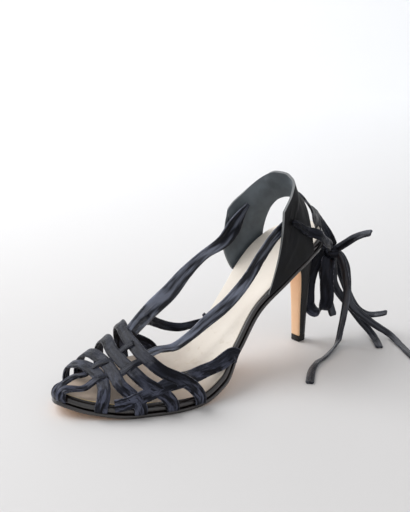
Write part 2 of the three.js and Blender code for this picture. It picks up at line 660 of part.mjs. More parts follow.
function collar() {
  const heights = [-1, 0, 0.12, 0.28, 0.44, 0.6, 0.75, 0.88, 1];
  const columns = 34;
  const rings = [];
  for (let i = 0; i <= columns; i += 1) {
    const around = -1 + (2 * i) / columns;
    const inner = heights.map((height) => collarPoint(around, height));
    const outer = heights.map((height) =>
      collarPoint(around, height).addScaledVector(collarNormal(around, height), collarWall));
    rings.push([...inner, ...outer.reverse()]);
  }
  const front = keyholeFront - seatOverhang;
  const top = seatRise + soleStack + keyholeHeight;
  const far = -2 * seatOverhang;
  const keyhole = acrossShoe([
    [far, 0], [front - 1, 0], [front + 0.8, seatRise], [front, top - 11], [front - 1.2, top - 5],
    [front - 3, top - 1.5], [front - 5.5, top], [far, top],
  ]);
  let wall = solid(loft(rings)).subtract(solid(keyhole));
  for (const { around, height, lean } of slits) {
    const centre = collarPoint(around, height);
    const slit = new THREE.BoxGeometry(slitLength, 6 * collarWall + 4, slitWidth);
    slit.rotateY(THREE.MathUtils.degToRad(lean)).translate(centre.x, centre.y, centre.z);
    wall = wall.subtract(solid(slit));
  }
  return geometryOf(wall);
}

function tieWraps() {
  const stand = collarWall + 3 * seam + tieThickness / 2;
  const narrowFirst = (share) => wrapWidth * Math.min(0.5 + 1.4 * share, 1);
  const routes = [[innerTieOnCollar, innerTieDrop, wrapWidth], [outerTieOnCollar, outerTieDrop, narrowFirst]];
  const runs = routes.map(([rows, drop, width]) => {
    const points = rows.map(({ around, height }) =>
      collarPoint(around, height).addScaledVector(collarNormal(around, height), stand));
    const looks = rows.map(({ around, height }) => collarNormal(around, height));
    const tail = drop.map(([x, y, z]) => new THREE.Vector3(x, y, z));
    const turning = drop.map((_, i) => direction(-0.6 + 0.2 * i, 0.8, 0.1));
    return freeStrap([...points, ...tail], [...looks, ...turning], width, tieThickness, 24);
  });
  return geometryOf(solid(runs[0]).add(solid(runs[1])));
}

// A flat tie with rounded edges along its points.
function tieRun({ points, faces }, steps) {
  const path = smoothPath(points.map(([x, y, z]) => new THREE.Vector3(x, y, z)), steps);
  const looks = faces.map(([x, y, z]) => direction(x, y, z));
  const [w, t] = [tieWidth / 2, tieThickness / 2];
  const rings = path.map((point, i) => {
    const forward = path[Math.min(i + 1, steps)].clone().sub(path[Math.max(i - 1, 0)]).normalize();
    const place = (i / steps) * (looks.length - 1);
    const k = Math.min(Math.floor(place), looks.length - 2);
    const look = looks[k].clone().lerp(looks[k + 1], place - k);
    const side = forward.clone().cross(look).normalize();
    const up = side.clone().cross(forward).normalize();
    return [[w, -t / 2], [w, t / 2], [w - t, t], [t - w, t], [-w, t / 2], [-w, -t / 2], [t - w, -t], [w - t, -t]]
      .map(([s, h]) => point.clone().addScaledVector(side, s).addScaledVector(up, h));
  });
  return loft(rings);
}

function knot() {
  const ball = new THREE.SphereGeometry(knotWidth / 2, 14, 9);
  ball.deleteAttribute("normal");
  ball.deleteAttribute("uv");
  return mergeVertices(ball, 1e-4).scale(0.95, 1, 0.9).translate(...knotCentre.toArray());
}

const leather = new THREE.MeshStandardMaterial({ color: 0x22242b, roughness: 0.45, metalness: 0 });
const softLeather = new THREE.MeshStandardMaterial({ color: 0x1b1c1f, roughness: 0.6, metalness: 0 });
const naturalLeather = new THREE.MeshStandardMaterial({ color: 0xe9bd92, roughness: 0.55, metalness: 0 });
const paleLeather = new THREE.MeshStandardMaterial({ color: 0xd8cfc2, roughness: 0.7, metalness: 0 });
const rubber = new THREE.MeshStandardMaterial({ color: 0x141414, roughness: 0.8, metalness: 0 });

const shoe = new THREE.Group();

function add(name, geometry, material) {
  const mesh = new THREE.Mesh(geometry, material);
  mesh.name = name;
  shoe.add(mesh);
}

const outsoleTop = footbedThickness + seam;
add("outsole", soleLayer(outsoleTop, soleStack, -outsoleMargin, 40), naturalLeather);
add("footbed", soleLayer(0, footbedThickness, 0, 40), leather);
add("sock", soleLayer(-sockThickness - seam, -seam, sockInset, 40), paleLeather);
add("heel", heelBody(), leather);
add("breast_cover", breastCover(), naturalLeather);
add("top_piece", topPiece(), rubber);
add("upper", upper(), leather);
add("collar", collar(), softLeather);
add("tie_wraps", tieWraps(), leather);
add("tie_knot", knot(), leather);
for (const [name, run] of Object.entries(tieRuns)) add(name, tieRun(run, 2 * run.points.length + 6), leather);

export default shoe;
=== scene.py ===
# %% [markdown]
# # A caged high heel in leather
# This lesson dresses one left shoe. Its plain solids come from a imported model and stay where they
# are, and every visible piece is built round them in the same place: +X points to the toe, +Y to
# the outer side, +Z is up, and the origin lies on the floor under the middle of the heel's tip.

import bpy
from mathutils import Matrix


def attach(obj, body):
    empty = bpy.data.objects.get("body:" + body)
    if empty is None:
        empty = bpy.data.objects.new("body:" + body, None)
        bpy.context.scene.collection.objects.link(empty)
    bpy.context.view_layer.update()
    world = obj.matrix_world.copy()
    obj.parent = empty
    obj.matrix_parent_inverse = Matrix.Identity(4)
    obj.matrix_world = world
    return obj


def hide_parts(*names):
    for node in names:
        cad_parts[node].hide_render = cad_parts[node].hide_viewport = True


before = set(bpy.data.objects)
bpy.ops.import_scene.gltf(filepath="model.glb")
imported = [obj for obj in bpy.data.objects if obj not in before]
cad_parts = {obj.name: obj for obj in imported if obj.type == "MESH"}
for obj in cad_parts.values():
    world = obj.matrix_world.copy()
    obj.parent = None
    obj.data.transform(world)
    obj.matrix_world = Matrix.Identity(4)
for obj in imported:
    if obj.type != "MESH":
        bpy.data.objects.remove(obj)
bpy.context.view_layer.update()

import math

import bpy
import numpy as np
from mathutils import Matrix, Vector, noise

MM = 0.001

# %% [markdown]
# ## The camera
# A product photo is matched by its camera before anything else. This one stands a little above
# the shoe, in front of its outer side. It looks past the shoe's middle, a little rolled, so the
# aim is turned by two small angles instead of shifting the lens.

# %% Place the camera
VIEW_TURN = math.radians(40.33)
VIEW_RISE = math.radians(20.083)
VIEW_ROLL = math.radians(1.277)
AIM_TURN = math.radians(-0.409)
AIM_RISE = math.radians(-2.672)
VIEW_DISTANCE = 596.46 * MM
VIEW_CENTRE = np.array([80, 0, 45]) * MM
LENS_SENSOR = 36
LENS = 67.8


def towards(turn, rise):
    flat = math.cos(rise)
    return np.array([math.sin(turn) * flat, math.cos(turn) * flat, math.sin(rise)])


def unit(v):
    v = np.asarray(v, float)
    return v / np.maximum(np.linalg.norm(v, axis=-1, keepdims=True), 1e-12)


def add_camera():
    ahead = -towards(VIEW_TURN + AIM_TURN, VIEW_RISE + AIM_RISE)
    level = unit(np.cross(ahead, (0, 0, 1)))
    above = np.cross(level, ahead)
    right = level * math.cos(VIEW_ROLL) + above * math.sin(VIEW_ROLL)
    up = above * math.cos(VIEW_ROLL) - level * math.sin(VIEW_ROLL)
    data = bpy.data.cameras.new("camera")
    data.sensor_fit = "VERTICAL"
    data.sensor_height = LENS_SENSOR
    data.lens = LENS
    data.clip_start = 0.01
    camera = bpy.data.objects.new("camera", data)
    bpy.context.scene.collection.objects.link(camera)
    place = VIEW_CENTRE + towards(VIEW_TURN, VIEW_RISE) * VIEW_DISTANCE
    turn = Matrix([right, up, -ahead]).transposed()
    camera.matrix_world = Matrix.Translation(Vector(place)) @ turn.to_4x4()
    bpy.context.scene.camera = camera
    return camera


camera = add_camera()
print("camera stands at", [round(v / MM) for v in camera.location])

# %% [markdown]
# ## Leather strips
# Nearly all of this shoe is flat leather strip, folded so that its edges are round. A curve with
# a bevel could make one, but its edges would stay even from end to end. Here each strip is
# lofted in code: a smooth path, the way its face looks, its width, how far it curls across and
# how deep it is crumpled, each free to change along the way. Two values stay with every point,
# the distance along the strip and the place across it, for the materials to read.

# %% Helpers for smooth paths and changing values
def spline(points, count, power=0.5):
    """Evenly spaced points on a smooth curve through a few given ones."""
    p = np.array(points, float)
    p = np.vstack([2 * p[0] - p[1], p, 2 * p[-1] - p[-2]])
    fine = []
    u = np.linspace(0, 1, 32, endpoint=False)[:, None]
    for a, b, c, d in zip(p, p[1:], p[2:], p[3:]):
        before, span, after = (np.linalg.norm(v) ** power for v in (b - a, c - b, d - c))
        start = ((b - a) / before - (c - a) / (before + span) + (c - b) / span) * span
        end = ((c - b) / span - (d - b) / (span + after) + (d - c) / after) * span
        ease = 2 * u**3 - 3 * u**2
        fine.append((1 + ease) * b - ease * c + (u**3 - 2 * u**2 + u) * start + (u**3 - u**2) * end)
    fine = np.vstack([*fine, p[-2]])
    run = distance_along(fine)
    even = np.linspace(0, run[-1], count)
    return np.stack([np.interp(even, run, column) for column in fine.T], 1)


def distance_along(points):
    steps = np.linalg.norm(np.diff(points, axis=0), axis=1)
    return np.concatenate([[0], np.cumsum(steps)])


def spread(rows, count):
    """The rows of a short list, laid out evenly over count places."""
    rows = np.array(rows, float)
    place = np.linspace(0, len(rows) - 1, count)
    k = np.minimum(place.astype(int), len(rows) - 2)
    share = (place - k).reshape(-1, *[1] * (rows.ndim - 1))
    return rows[k] * (1 - share) + rows[k + 1] * share


def steps_for(points, pitch):
    return int(distance_along(np.array(points, float))[-1] / pitch) + 2


# %% Helpers that make a piece
def material(name):
    """The material of that name, whose nodes are filled in further down."""
    return bpy.data.materials.get(name) or bpy.data.materials.new(name)


def add_piece(name, points, faces, finishes, values=None, choice=None):
    """A mesh from points in millimetres, riding on the shoe, with its values and materials."""
    mesh = bpy.data.meshes.new(name)
    mesh.from_pydata((np.asarray(points) * MM).tolist(), [], [list(f) for f in faces])
    mesh.polygons.foreach_set("use_smooth", [True] * len(mesh.polygons))
    for finish in finishes:
        mesh.materials.append(material(finish))
    if choice is not None:
        mesh.polygons.foreach_set("material_index", choice)
    for key, column in (values or {}).items():
        layer = mesh.attributes.new(key, "FLOAT", "POINT")
        layer.data.foreach_set("value", np.asarray(column, np.float32))
    mesh.validate()
    mesh.update()
    piece = bpy.data.objects.new(name, mesh)
    bpy.context.scene.collection.objects.link(piece)
    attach(piece, "root")
    return piece


def tube_faces(rings, around, inside_out=False, seam=0):
    """Faces of rings of points, joined to a tube with two closed ends. A face at an end runs from
    side to side, counted from point 0, or from the gap before it where seam is 1."""
    faces = []
    for i in range(rings - 1):
        for k in range(around):
            a, b = i * around + k, i * around + (k + 1) % around
            face = (a, b, b + around, a + around)
            faces.append((face[0], face[3], face[2], face[1]) if inside_out else face)
    for start, flip in ((0, not inside_out), ((rings - 1) * around, inside_out)):
        for k in range((around - seam) // 2):
            corners = (k, k + 1, around - k - 1 - seam, (around - k - seam) % around)
            face = list(dict.fromkeys(start + n for n in corners))
            faces.append(face[::-1] if flip else face)
    return faces


# %% A strip of leather
ACROSS = 11
# The scales of two layers of crumple: along the strip, across it, and of its seed.
CRUMPLES = [(1, (0.22, 0.9, 1.7)), (0.4, (0.55, 2.3, 0.7))]
BEAD_PLACE = 0.8
BEAD_WIDTH = 0.12


def crumple_at(run, across, seed):
    """Height of the crumple at a place, before the strip's own share of it."""
    return sum(share * noise.noise(Vector((run * along + seed, across * aside, seed * shift)))
               for share, (along, aside, shift) in CRUMPLES)


def creases_at(along, across, rows):
    """Height of listed creases. A row has its place along and across in millimetres, how
    far it turns from straight across, its length, its width and its height, negative for a
    trough."""
    height = np.zeros(np.broadcast(along, across).shape)
    for at, aside, turn, length, width, depth in rows:
        cosine, sine = math.cos(math.radians(turn)), math.sin(math.radians(turn))
        off = (along - at) * cosine + (across - aside) * sine
        down = (across - aside) * cosine - (along - at) * sine
        height += depth * np.exp(-((off / width) ** 2)) * np.exp(-((2 * down / length) ** 4))
    return height


def strip(path, looks, width, thick, curl=0, bead=0.3, crumple=0, ends=(0, 0), seed=0, creases=()):
    """Points, faces and values of one folded leather strip."""
    path = np.array(path, float)
    count = len(path)
    run = distance_along(path)
    even = np.ones(count)
    width, curl, crumple = (np.asarray(v) * even for v in (width, curl, crumple))
    ahead = unit(np.gradient(path, axis=0))
    side = unit(np.cross(ahead, looks))
    up = unit(np.cross(side, ahead))
    for end, cut in zip((run, run[-1] - run), ends):
        width = width * np.where(end < cut, np.sqrt(1 - (1 - end / max(cut, 1e-6)) ** 2 * 0.4), 1)
    across = np.sin(np.linspace(-math.pi / 2, math.pi / 2, ACROSS))
    half = width[:, None] / 2
    shift = half * across * (1 - 0.3 * curl[:, None] ** 2)
    rise = curl[:, None] * half * (across**2 - 0.4)
    for i in range(count):
        for j in range(ACROSS):
            rise[i, j] += crumple[i] * crumple_at(run[i], across[j], seed)
    rows = [(at if at >= 0 else run[-1] + at, *rest) for at, *rest in creases]
    rise += creases_at(run[:, None], shift, rows)
    edge = np.abs(across)
    profile = np.sqrt(1 - edge**6) * (1 + bead * np.exp(-(((edge - BEAD_PLACE) / BEAD_WIDTH) ** 2)))
    slope = np.gradient(rise, axis=1) / np.gradient(shift, axis=1)
    steep = np.hypot(1, slope)
    body = path[:, None] + side[:, None] * shift[..., None] + up[:, None] * rise[..., None]
    out = (up[:, None] - side[:, None] * slope[..., None]) / steep[..., None]
    depth = thick / 2 * profile
    top = body + out * depth[..., None]
    low = body - out * depth[..., None]
    ring = np.concatenate([top, low[:, ACROSS - 2:0:-1]], 1)
    around = ring.shape[1]
    spots = np.concatenate([across, across[ACROSS - 2:0:-1]])
    values = {"along": np.repeat(run, around), "across": np.tile(spots, count)}
    return ring.reshape(-1, 3), tube_faces(count, around), values


def join_parts(parts):
    """Several lots of points, faces and values as one."""
    points, faces, values, start = [], [], {}, 0
    for part_points, part_faces, part_values in parts:
        points.append(part_points)
        faces += [[k + start for k in face] for face in part_faces]
        for key, column in part_values.items():
            values.setdefault(key, []).append(column)
        start += len(part_points)
    return np.vstack(points), faces, {key: np.concatenate(v) for key, v in values.items()}


print("a strip has", 2 * ACROSS - 2, "points round it")

# %% [markdown]
# ## The loose ties
# Behind the heel the ties are knotted, and six ends and one loop hang from the knot, two of them
# long enough to lie on the floor. They hang free, and the length of each is printed. Their routes
# are listed points, the same as in the solids, and each starts inside the knot.

# %% Lay the ties
TIE_WIDTH = 6
TIE_THICKNESS = 1.2
TIE_PITCH = 1.1
LOOP_WIDER = 3.4
END_NARROWER = 0.6
ON_FLOOR = 0.06
KNOT = np.array([-21, 5, 60.4])
TIE_RUNS = {
    "tie_end_short": {
        "points": [(-22.3, 9.2, 63.2), (-22.8, 16, 68.4), (-22, 24, 74.2), (-21, 33, 79),
                   (-20.4, 39, 81.4)],
        "looks": [(0.6, 0.7, 0.4), (0.6, 0.6, 0.5), (0.6, 0.4, 0.7)],
    },
    "tie_end_front": {
        "points": [(-22, 11.6, 59.4), (-23.6, 15.2, 50.4), (-22.6, 19.4, 39.5), (-20, 22, 29.5),
                   (-17.5, 23, 19), (-15.4, 23, 9.6), (-13, 23.8, 3.6), (-5, 27, 1.2), (9, 33, 0.8),
                   (18, 35.5, 0.8), (30, 42, 0.8), (46, 55.5, 0.8)],
        "looks": [(0.9, 0.4, 0), (1, 0.2, 0.1), (0.9, -0.2, 0.3), (0.3, -0.3, 0.9), (0, 0, 1)],
    },
    "tie_end_side": {
        "points": [(-22.8, 5, 55), (-24.6, 5, 46), (-25.2, 5.6, 38.2), (-28, 8, 30.6),
                   (-33.8, 13, 21.6), (-38.6, 20.4, 11.4), (-42, 28, 3.4), (-38, 36, 1.2),
                   (-32, 44, 0.9)],
        "looks": [(0.7, 0.7, 0.1), (0.6, 0.7, 0.3), (0.5, 0.4, 0.7), (0, 0, 1)],
    },
    "tie_end_long": {
        "points": [(-25.2, 9.2, 58.4), (-29.4, 11.4, 50.6), (-30.4, 13, 41), (-29.8, 14.6, 32.5),
                   (-30.4, 16.8, 24.6), (-35.6, 21.8, 17.6), (-42, 28, 11), (-50.5, 36.2, 3.8),
                   (-46.4, 50, 1.1), (-39.5, 63.5, 0.8), (-32, 78, 0.8)],
        "looks": [(0.6, 0.8, 0), (0.6, 0.7, 0.2), (0.5, 0.6, 0.6), (0, 0.1, 1), (0, 0, 1)],
    },
    "tie_end_low": {
        "points": [(-25.6, 3.4, 58), (-33, 2.4, 46), (-38, 4, 34), (-41.6, 7.6, 23),
                   (-45.6, 11.6, 15.4), (-49.4, 17, 12.4), (-53.5, 23.5, 13.6), (-56, 28.5, 15.6)],
        "looks": [(0.6, 0.8, 0), (0.6, 0.6, 0.5), (0.5, 0.4, 0.8), (0.4, 0, 0.9)],
    },
    "tie_end_inner": {
        "points": [(-20.4, 0.2, 55.4), (-19.6, -0.4, 47), (-20, 1.4, 38), (-21, 4.6, 29),
                   (-21.8, 7.2, 21), (-22.6, 9.4, 15)],
        "looks": [(0.7, 0.7, 0.1), (0.6, 0.7, 0.2), (0.6, 0.7, 0.3)],
    },
    "tie_loop": {
        "points": [(-16.8, 1.4, 58.4), (-12.6, -1.4, 50.5), (-10.2, -3.2, 40), (-9.8, -3.4, 29.4),
                   (-10.6, -2.4, 21.6), (-13.6, 1.6, 17.6), (-16, 6, 20.6), (-16.6, 8, 28),
                   (-16.4, 7.4, 38), (-17, 6.4, 47), (-18, 6, 54.8)],
        "looks": [(0.6, 0.8, 0), (0.6, 0.8, 0), (0.6, 0.8, 0), (0.4, 0.4, 0.8),
                  (-0.6, -0.8, 0), (-0.7, -0.7, 0), (-0.7, -0.7, 0)],
    },
}

LOOP_CREASES = [
    (20, 1.2, 86, 26, 0.9, 0.6), (24, -1.4, 95, 24, 0.9, -0.5), (44, 0.6, 70, 14, 0.9, 0.5),
    (62, -1.0, 84, 22, 1.0, 0.6), (78, 1.3, 96, 26, 0.9, -0.5), (90, -0.8, 88, 22, 0.9, 0.5),
]


def into_knot(point, share=0.35):
    return tuple(np.array(point) + (KNOT - np.array(point)) * share)


def lay_tie(name, run, seed):
    loop = name == "tie_loop"
    points = [into_knot(run["points"][0]), *run["points"]]
    if loop:
        points.append(into_knot(run["points"][-1]))
    path = spline(points, steps_for(points, TIE_PITCH))
    looks = unit(spread(run["looks"], len(path)))
    curl = 0.12 + 0.1 * np.sin(distance_along(path) * 0.16 + seed)
    width = TIE_WIDTH + LOOP_WIDER if loop else TIE_WIDTH - END_NARROWER
    points, faces, values = strip(
        path, looks, width, TIE_THICKNESS, curl=-curl, bead=0.25, crumple=0.4 if loop else 0.16,
        ends=(0, 1.6), seed=seed, creases=LOOP_CREASES if loop else ())
    points[:, 2] = np.maximum(points[:, 2], ON_FLOOR)
    finish = "strap leather" if loop else "tie leather"
    piece = add_piece(f"{name}_strap", points, faces, [finish], values)
    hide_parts(name)
    length = distance_along(path)[-1] * MM
    return length


for number, (name, run) in enumerate(TIE_RUNS.items()):
    print(name, "is", round(lay_tie(name, run, number * 3.1) / MM, 1), "mm long")

# %% [markdown]
# ## The shape of the sole
# The sole is the last's footprint, lifted at the heel and dropped to the ball along the arch. The
# short table below is the one that the solids follow. A monotone curve through its columns gives
# the sole at any station, so the fine pieces here meet the plain solids everywhere.

# %% The footprint and its curves
SOLE_LENGTH = 195.5
SEAT_OVERHANG = 7.5
BALL_WIDTH = 73
SEAT_RISE = 76.7
TOE_SPRING = 6.3
SEAT_ROUND = 24
TOE_ROUND = 26
FOOTBED = 3.2
OUTSOLE = 2.2
OUTSOLE_MARGIN = 0.8
SEAM = 0.3
SOLE_STACK = FOOTBED + SEAM + OUTSOLE
SOCK = 0.8
SOCK_INSET = 1.7

# Each row: the station, then the rise, the toe spring and the outer and inner half widths.
SOLE_SECTIONS = [
    (0, 1, 0, 0.285, 0.275), (0.043, 0.965, 0, 0.298, 0.28), (0.12, 0.894, 0, 0.328, 0.288),
    (0.18, 0.822, 0, 0.352, 0.284), (0.247, 0.712, 0, 0.345, 0.258), (0.349, 0.493, 0, 0.295, 0.192),
    (0.45, 0.245, 0, 0.356, 0.158), (0.552, 0.079, 0, 0.507, 0.308), (0.64, 0.01, 0, 0.542, 0.45),
    (0.704, 0, 0, 0.525, 0.49), (0.831, 0, 0, 0.405, 0.465), (0.937, 0, 0.38, 0.252, 0.342),
    (1, 0, 1, 0.164, 0.255),
]


def column_curve(rows, column):
    """A smooth curve through one column of a table, which never overshoots its rows."""
    t = np.array([row[0] for row in rows], float)
    v = np.array([row[column] for row in rows], float)
    slopes = np.diff(v) / np.diff(t)
    bend = np.zeros(len(v))
    bend[0], bend[-1] = slopes[0], slopes[-1]
    for i in range(1, len(v) - 1):
        before, after = slopes[i - 1], slopes[i]
        bend[i] = 2 * before * after / (before + after) if before * after > 0 else 0

    def curve(at):
        if at < t[0]:
            return v[0] + bend[0] * (at - t[0])
        if at > t[-1]:
            return v[-1] + bend[-1] * (at - t[-1])
        i = min(int(np.searchsorted(t, at, side="right")) - 1, len(t) - 2)
        span = t[i + 1] - t[i]
        u = (at - t[i]) / span
        a = 2 * u**3 - 3 * u**2 + 1
        return (a * v[i] + (1 - a) * v[i + 1]
                + (u**3 - 2 * u**2 + u) * span * bend[i] + (u**3 - u**2) * span * bend[i + 1])

    return curve


rise_at, spring_at, outer_at, inner_at = (column_curve(SOLE_SECTIONS, k) for k in range(1, 5))


def station_x(at):
    return at * SOLE_LENGTH - SEAT_OVERHANG


def footbed_z(at):
    return SOLE_STACK + rise_at(at) * SEAT_RISE + spring_at(at) * TOE_SPRING


def outline(at, inset):
    """The middle line's place and the half width of a sole layer at a station."""
    along = at * SOLE_LENGTH
    from_heel = (SEAT_ROUND - along) / (SEAT_ROUND - inset)
    from_toe = (TOE_ROUND - SOLE_LENGTH + along) / (TOE_ROUND - inset)
    past = min(max(from_heel, from_toe, 0), 1)
    blunt = (outer_at(at) + inner_at(at)) / 2 * BALL_WIDTH - inset
    middle = (outer_at(at) - inner_at(at)) / 2 * BALL_WIDTH
    return middle, blunt * math.sqrt(1 - past * past)


def sole_point(at, y, depth):
    """A point of the sole: station, distance out, and depth below the insole's face."""
    step = 0.002
    slope = (footbed_z(at + step) - footbed_z(at - step)) / (2 * step * SOLE_LENGTH)
    steep = math.hypot(1, slope)
    return np.array([station_x(at) + depth * slope / steep, y, footbed_z(at) - depth / steep])


print("the insole falls from", round(footbed_z(0), 1), "to", round(footbed_z(0.75), 1), "mm")

# %% [markdown]
# ## Footbed, sock and outsole
# Three layers are cut to nearly the same outline: the footbed board with leather wrapped round
# its edge, the cream sock glued on it and the thin natural leather outsole below. They are lofts
# across the sole. Their edges are rounded by a few points, because a rounded edge catches the
# long thin highlight that a real one has.

# %% Build the sole's layers
SOLE_STATIONS = 150
EDGE_STEPS = 5
NARROWEST = 0.05


def layer_section(half, top, bottom, round_by):
    """Half a section, from the middle of the top round the edge to the middle of the underside."""
    round_by = min(round_by, half * 0.6, (bottom - top) / 2)
    inner = [(half - round_by) * share for share in (0, 0.35, 0.7, 0.9)]
    points = [(y, top) for y in inner]
    for k in range(EDGE_STEPS + 1):
        turn = math.pi / 2 * k / EDGE_STEPS
        points.append((half - round_by * (1 - math.sin(turn)),
                       top + round_by * (1 - math.cos(turn))))
    for k in range(EDGE_STEPS + 1):
        turn = math.pi / 2 * k / EDGE_STEPS
        points.append((half - round_by * (1 - math.cos(turn)),
                       bottom - round_by * (1 - math.sin(turn))))
    points += [(y, bottom) for y in inner[::-1]]
    return points


def sole_layer(top, bottom, inset, round_by):
    """A layer as rings across the sole, with the place along and across kept for the finish."""
    first = (inset + 0.02) / SOLE_LENGTH
    points, along, across, edge = [], [], [], []
    for i in range(SOLE_STATIONS + 1):
        even = (1 - math.cos(math.pi * i / SOLE_STATIONS)) / 2
        at = first + (1 - 2 * first) * even
        middle, half = outline(at, inset)
        half = max(half, NARROWEST)
        section = layer_section(half, top, bottom, round_by)
        ring = section + [(-y, depth) for y, depth in section[-2:0:-1]]
        for y, depth in ring:
            points.append(sole_point(at, middle + y, depth))
            along.append(at * SOLE_LENGTH)
            across.append(y / half)
            edge.append(min(half - abs(y), (1 - first - at) * SOLE_LENGTH * 1.5))
    around = len(points) // (SOLE_STATIONS + 1)
    faces = tube_faces(SOLE_STATIONS + 1, around, inside_out=True)
    half_ring = around // 2
    under = [int(half_ring - 4 <= k < half_ring + 4) for k in range(around)] * SOLE_STATIONS
    choice = under + [0] * (len(faces) - len(under))
    return np.array(points), faces, {"along": along, "across": across, "edge": edge}, choice


points, faces, values, _ = sole_layer(0, FOOTBED, 0, 1.5)
footbed = add_piece("footbed_edge", points, faces, ["edge leather"], values)
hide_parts("footbed")

points, faces, values, _ = sole_layer(-SOCK - SEAM, 0, SOCK_INSET, 0.45)
sock = add_piece("sock_leather", points, faces, ["sock leather"], values)
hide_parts("sock")

points, faces, values, choice = sole_layer(FOOTBED + SEAM, SOLE_STACK, -OUTSOLE_MARGIN, 0.7)
outsole = add_piece("outsole_leather", points, faces, ["edge leather", "outsole leather"],
                    values, choice)
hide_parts("outsole")
print("sole layers:", [len(o.data.polygons) for o in (footbed, sock, outsole)], "faces")

# %% [markdown]
# ## The heel
# The heel is a slim block, leather pulled tight round its sides and back, a natural leather cover
# on its flat front and a rubber tip below. Each upright line of the block is followed until it
# meets the sole's underside, so the heel ends in the sole's own curve without any cutting.

# %% Build the heel
TIP_LENGTH = 8
TIP_WIDTH = 6.8
TOP_PIECE = 4.5
BREAST = 1.2
HEEL_INSET = 1.2
BREAST_REACH = 28.5
HEEL_SECTIONS = [
    (0, 0, 0, 0), (0.3, 0.06, 0.1, 0.03), (0.5, 0.1, 0.2, 0.08), (0.64, 0.16, 0.3, 0.12),
    (0.77, 0.37, 0.45, 0.19), (0.85, 0.56, 0.65, 0.33), (0.91, 0.71, 0.8, 0.58),
    (0.96, 0.83, 0.92, 0.82), (1.06, 1, 1, 1),
]
front_at, back_at, half_at = (column_curve(HEEL_SECTIONS, k) for k in range(1, 4))
SEAT_HALF = (SOLE_SECTIONS[0][3] + SOLE_SECTIONS[0][4]) / 2 * BALL_WIDTH - HEEL_INSET
UNDERSIDE = np.array([sole_point(at, 0, SOLE_STACK)[[0, 2]]
                      for at in np.linspace(-0.02, 0.35, 60)])
CORNER = 0.27


def heel_size(up):
    """Front, back, half width, height and middle of the heel at a share of the seat's rise."""
    return (
        TIP_LENGTH / 2 + (BREAST_REACH - TIP_LENGTH / 2) * front_at(up),
        TIP_LENGTH / 2 + (SEAT_OVERHANG - HEEL_INSET - TIP_LENGTH / 2) * back_at(up),
        TIP_WIDTH / 2 + (SEAT_HALF - TIP_WIDTH / 2) * half_at(up),
        up * SEAT_RISE,
        outline(SEAT_OVERHANG / SOLE_LENGTH, 0)[0] * half_at(up),
    )


def side_and_back(up, k, steps, set_back):
    """One point of the heel's cover, from its outer front edge round the back."""
    front, back, half, z, middle = heel_size(up)
    if k in (0, steps):
        return np.array([front - set_back, middle + (half - CORNER) * (1 if k == 0 else -1), z])
    turn = math.pi * (k - 1) / (steps - 2)
    return np.array([-math.sin(turn) * back, math.cos(turn) * half + middle, z])


def rising(column, start, levels):
    """Points of one upright line, from the tip to the sole's underside."""
    ups = np.linspace(start, 1.12, 240)
    line = np.array([column(up) for up in ups])
    roof = np.interp(line[:, 0], UNDERSIDE[:, 0], UNDERSIDE[:, 1])
    above = np.nonzero(line[:, 2] >= roof)[0]
    last = ups[above[0]] if len(above) else ups[-1]
    return [column(up) for up in np.linspace(start, last, levels)]


def body_of(lines):
    """Points and faces of a closed body whose upright lines go round it."""
    points = [point for level in zip(*lines) for point in level]
    return np.array(points), tube_faces(len(lines[0]), len(lines), seam=1)


HEEL_START = (TOP_PIECE + SEAM * 0.4) / SEAT_RISE
HEEL_LEVELS = 60
HEEL_AROUND = 30
lines = [rising(lambda up, k=k: side_and_back(up, k, HEEL_AROUND, BREAST), HEEL_START,
                HEEL_LEVELS) for k in range(HEEL_AROUND + 1)]
points, faces = body_of(lines)
heel = add_piece("heel_cover", points, faces, ["heel leather"])
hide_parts("heel")


def breast_point(up, y_share, set_back):
    front, _, half, z, middle = heel_size(up)
    return np.array([front - set_back, middle + y_share * half, z])


BREAST_RING = [(-1, BREAST), (-1, 0.3), (-0.93, 0), (-0.5, -0.06), (0, -0.08), (0.5, -0.06),
               (0.93, 0), (1, 0.3), (1, BREAST)]
lines = [rising(lambda up, s=s, b=b: breast_point(up, s, b), HEEL_START, HEEL_LEVELS)
         for s, b in BREAST_RING]
points, faces = body_of(lines)
breast = add_piece("heel_breast", points, faces, ["outsole leather"])
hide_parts("breast_cover")


def tip_ring(z, grow):
    front, back, half, _, middle = heel_size(0)
    ring = [np.array([front + grow, middle + half + grow, z])]
    for k in range(HEEL_AROUND - 1):
        turn = math.pi * k / (HEEL_AROUND - 2)
        ring.append(np.array([-math.sin(turn) * (back + grow),
                              math.cos(turn) * (half + grow) + middle, z]))
    ring.append(np.array([front + grow, middle - half - grow, z]))
    return ring


TIP_PROFILE = [(0, -0.5), (0.15, -0.2), (0.5, 0), (2.2, 0.05), (4.1, 0.05), (4.4, -0.1),
               (TOP_PIECE, -0.3)]
rings = [tip_ring(z, grow) for z, grow in TIP_PROFILE]
points, faces = body_of([list(line) for line in zip(*rings)])
tip = add_piece("heel_tip", points, faces, ["tip rubber"])
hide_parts("top_piece")
print("heel pieces:", [len(o.data.polygons) for o in (heel, breast, tip)], "faces")

# %% [markdown]
# ## The cage
# Four straps cross the toes and three run along them, over one and under the next. Two of those
# three start as bands wrapped round the toe's tip. The maker's last is gone from the shoe, but its
# surface still says where each strap lies: a dome from edge to edge of the insole, high over the
# instep and low at the toe. A strap is a curve on that dome, lifted and dropped where it crosses
# others, and at the insole's edge it runs down the footbed's side.

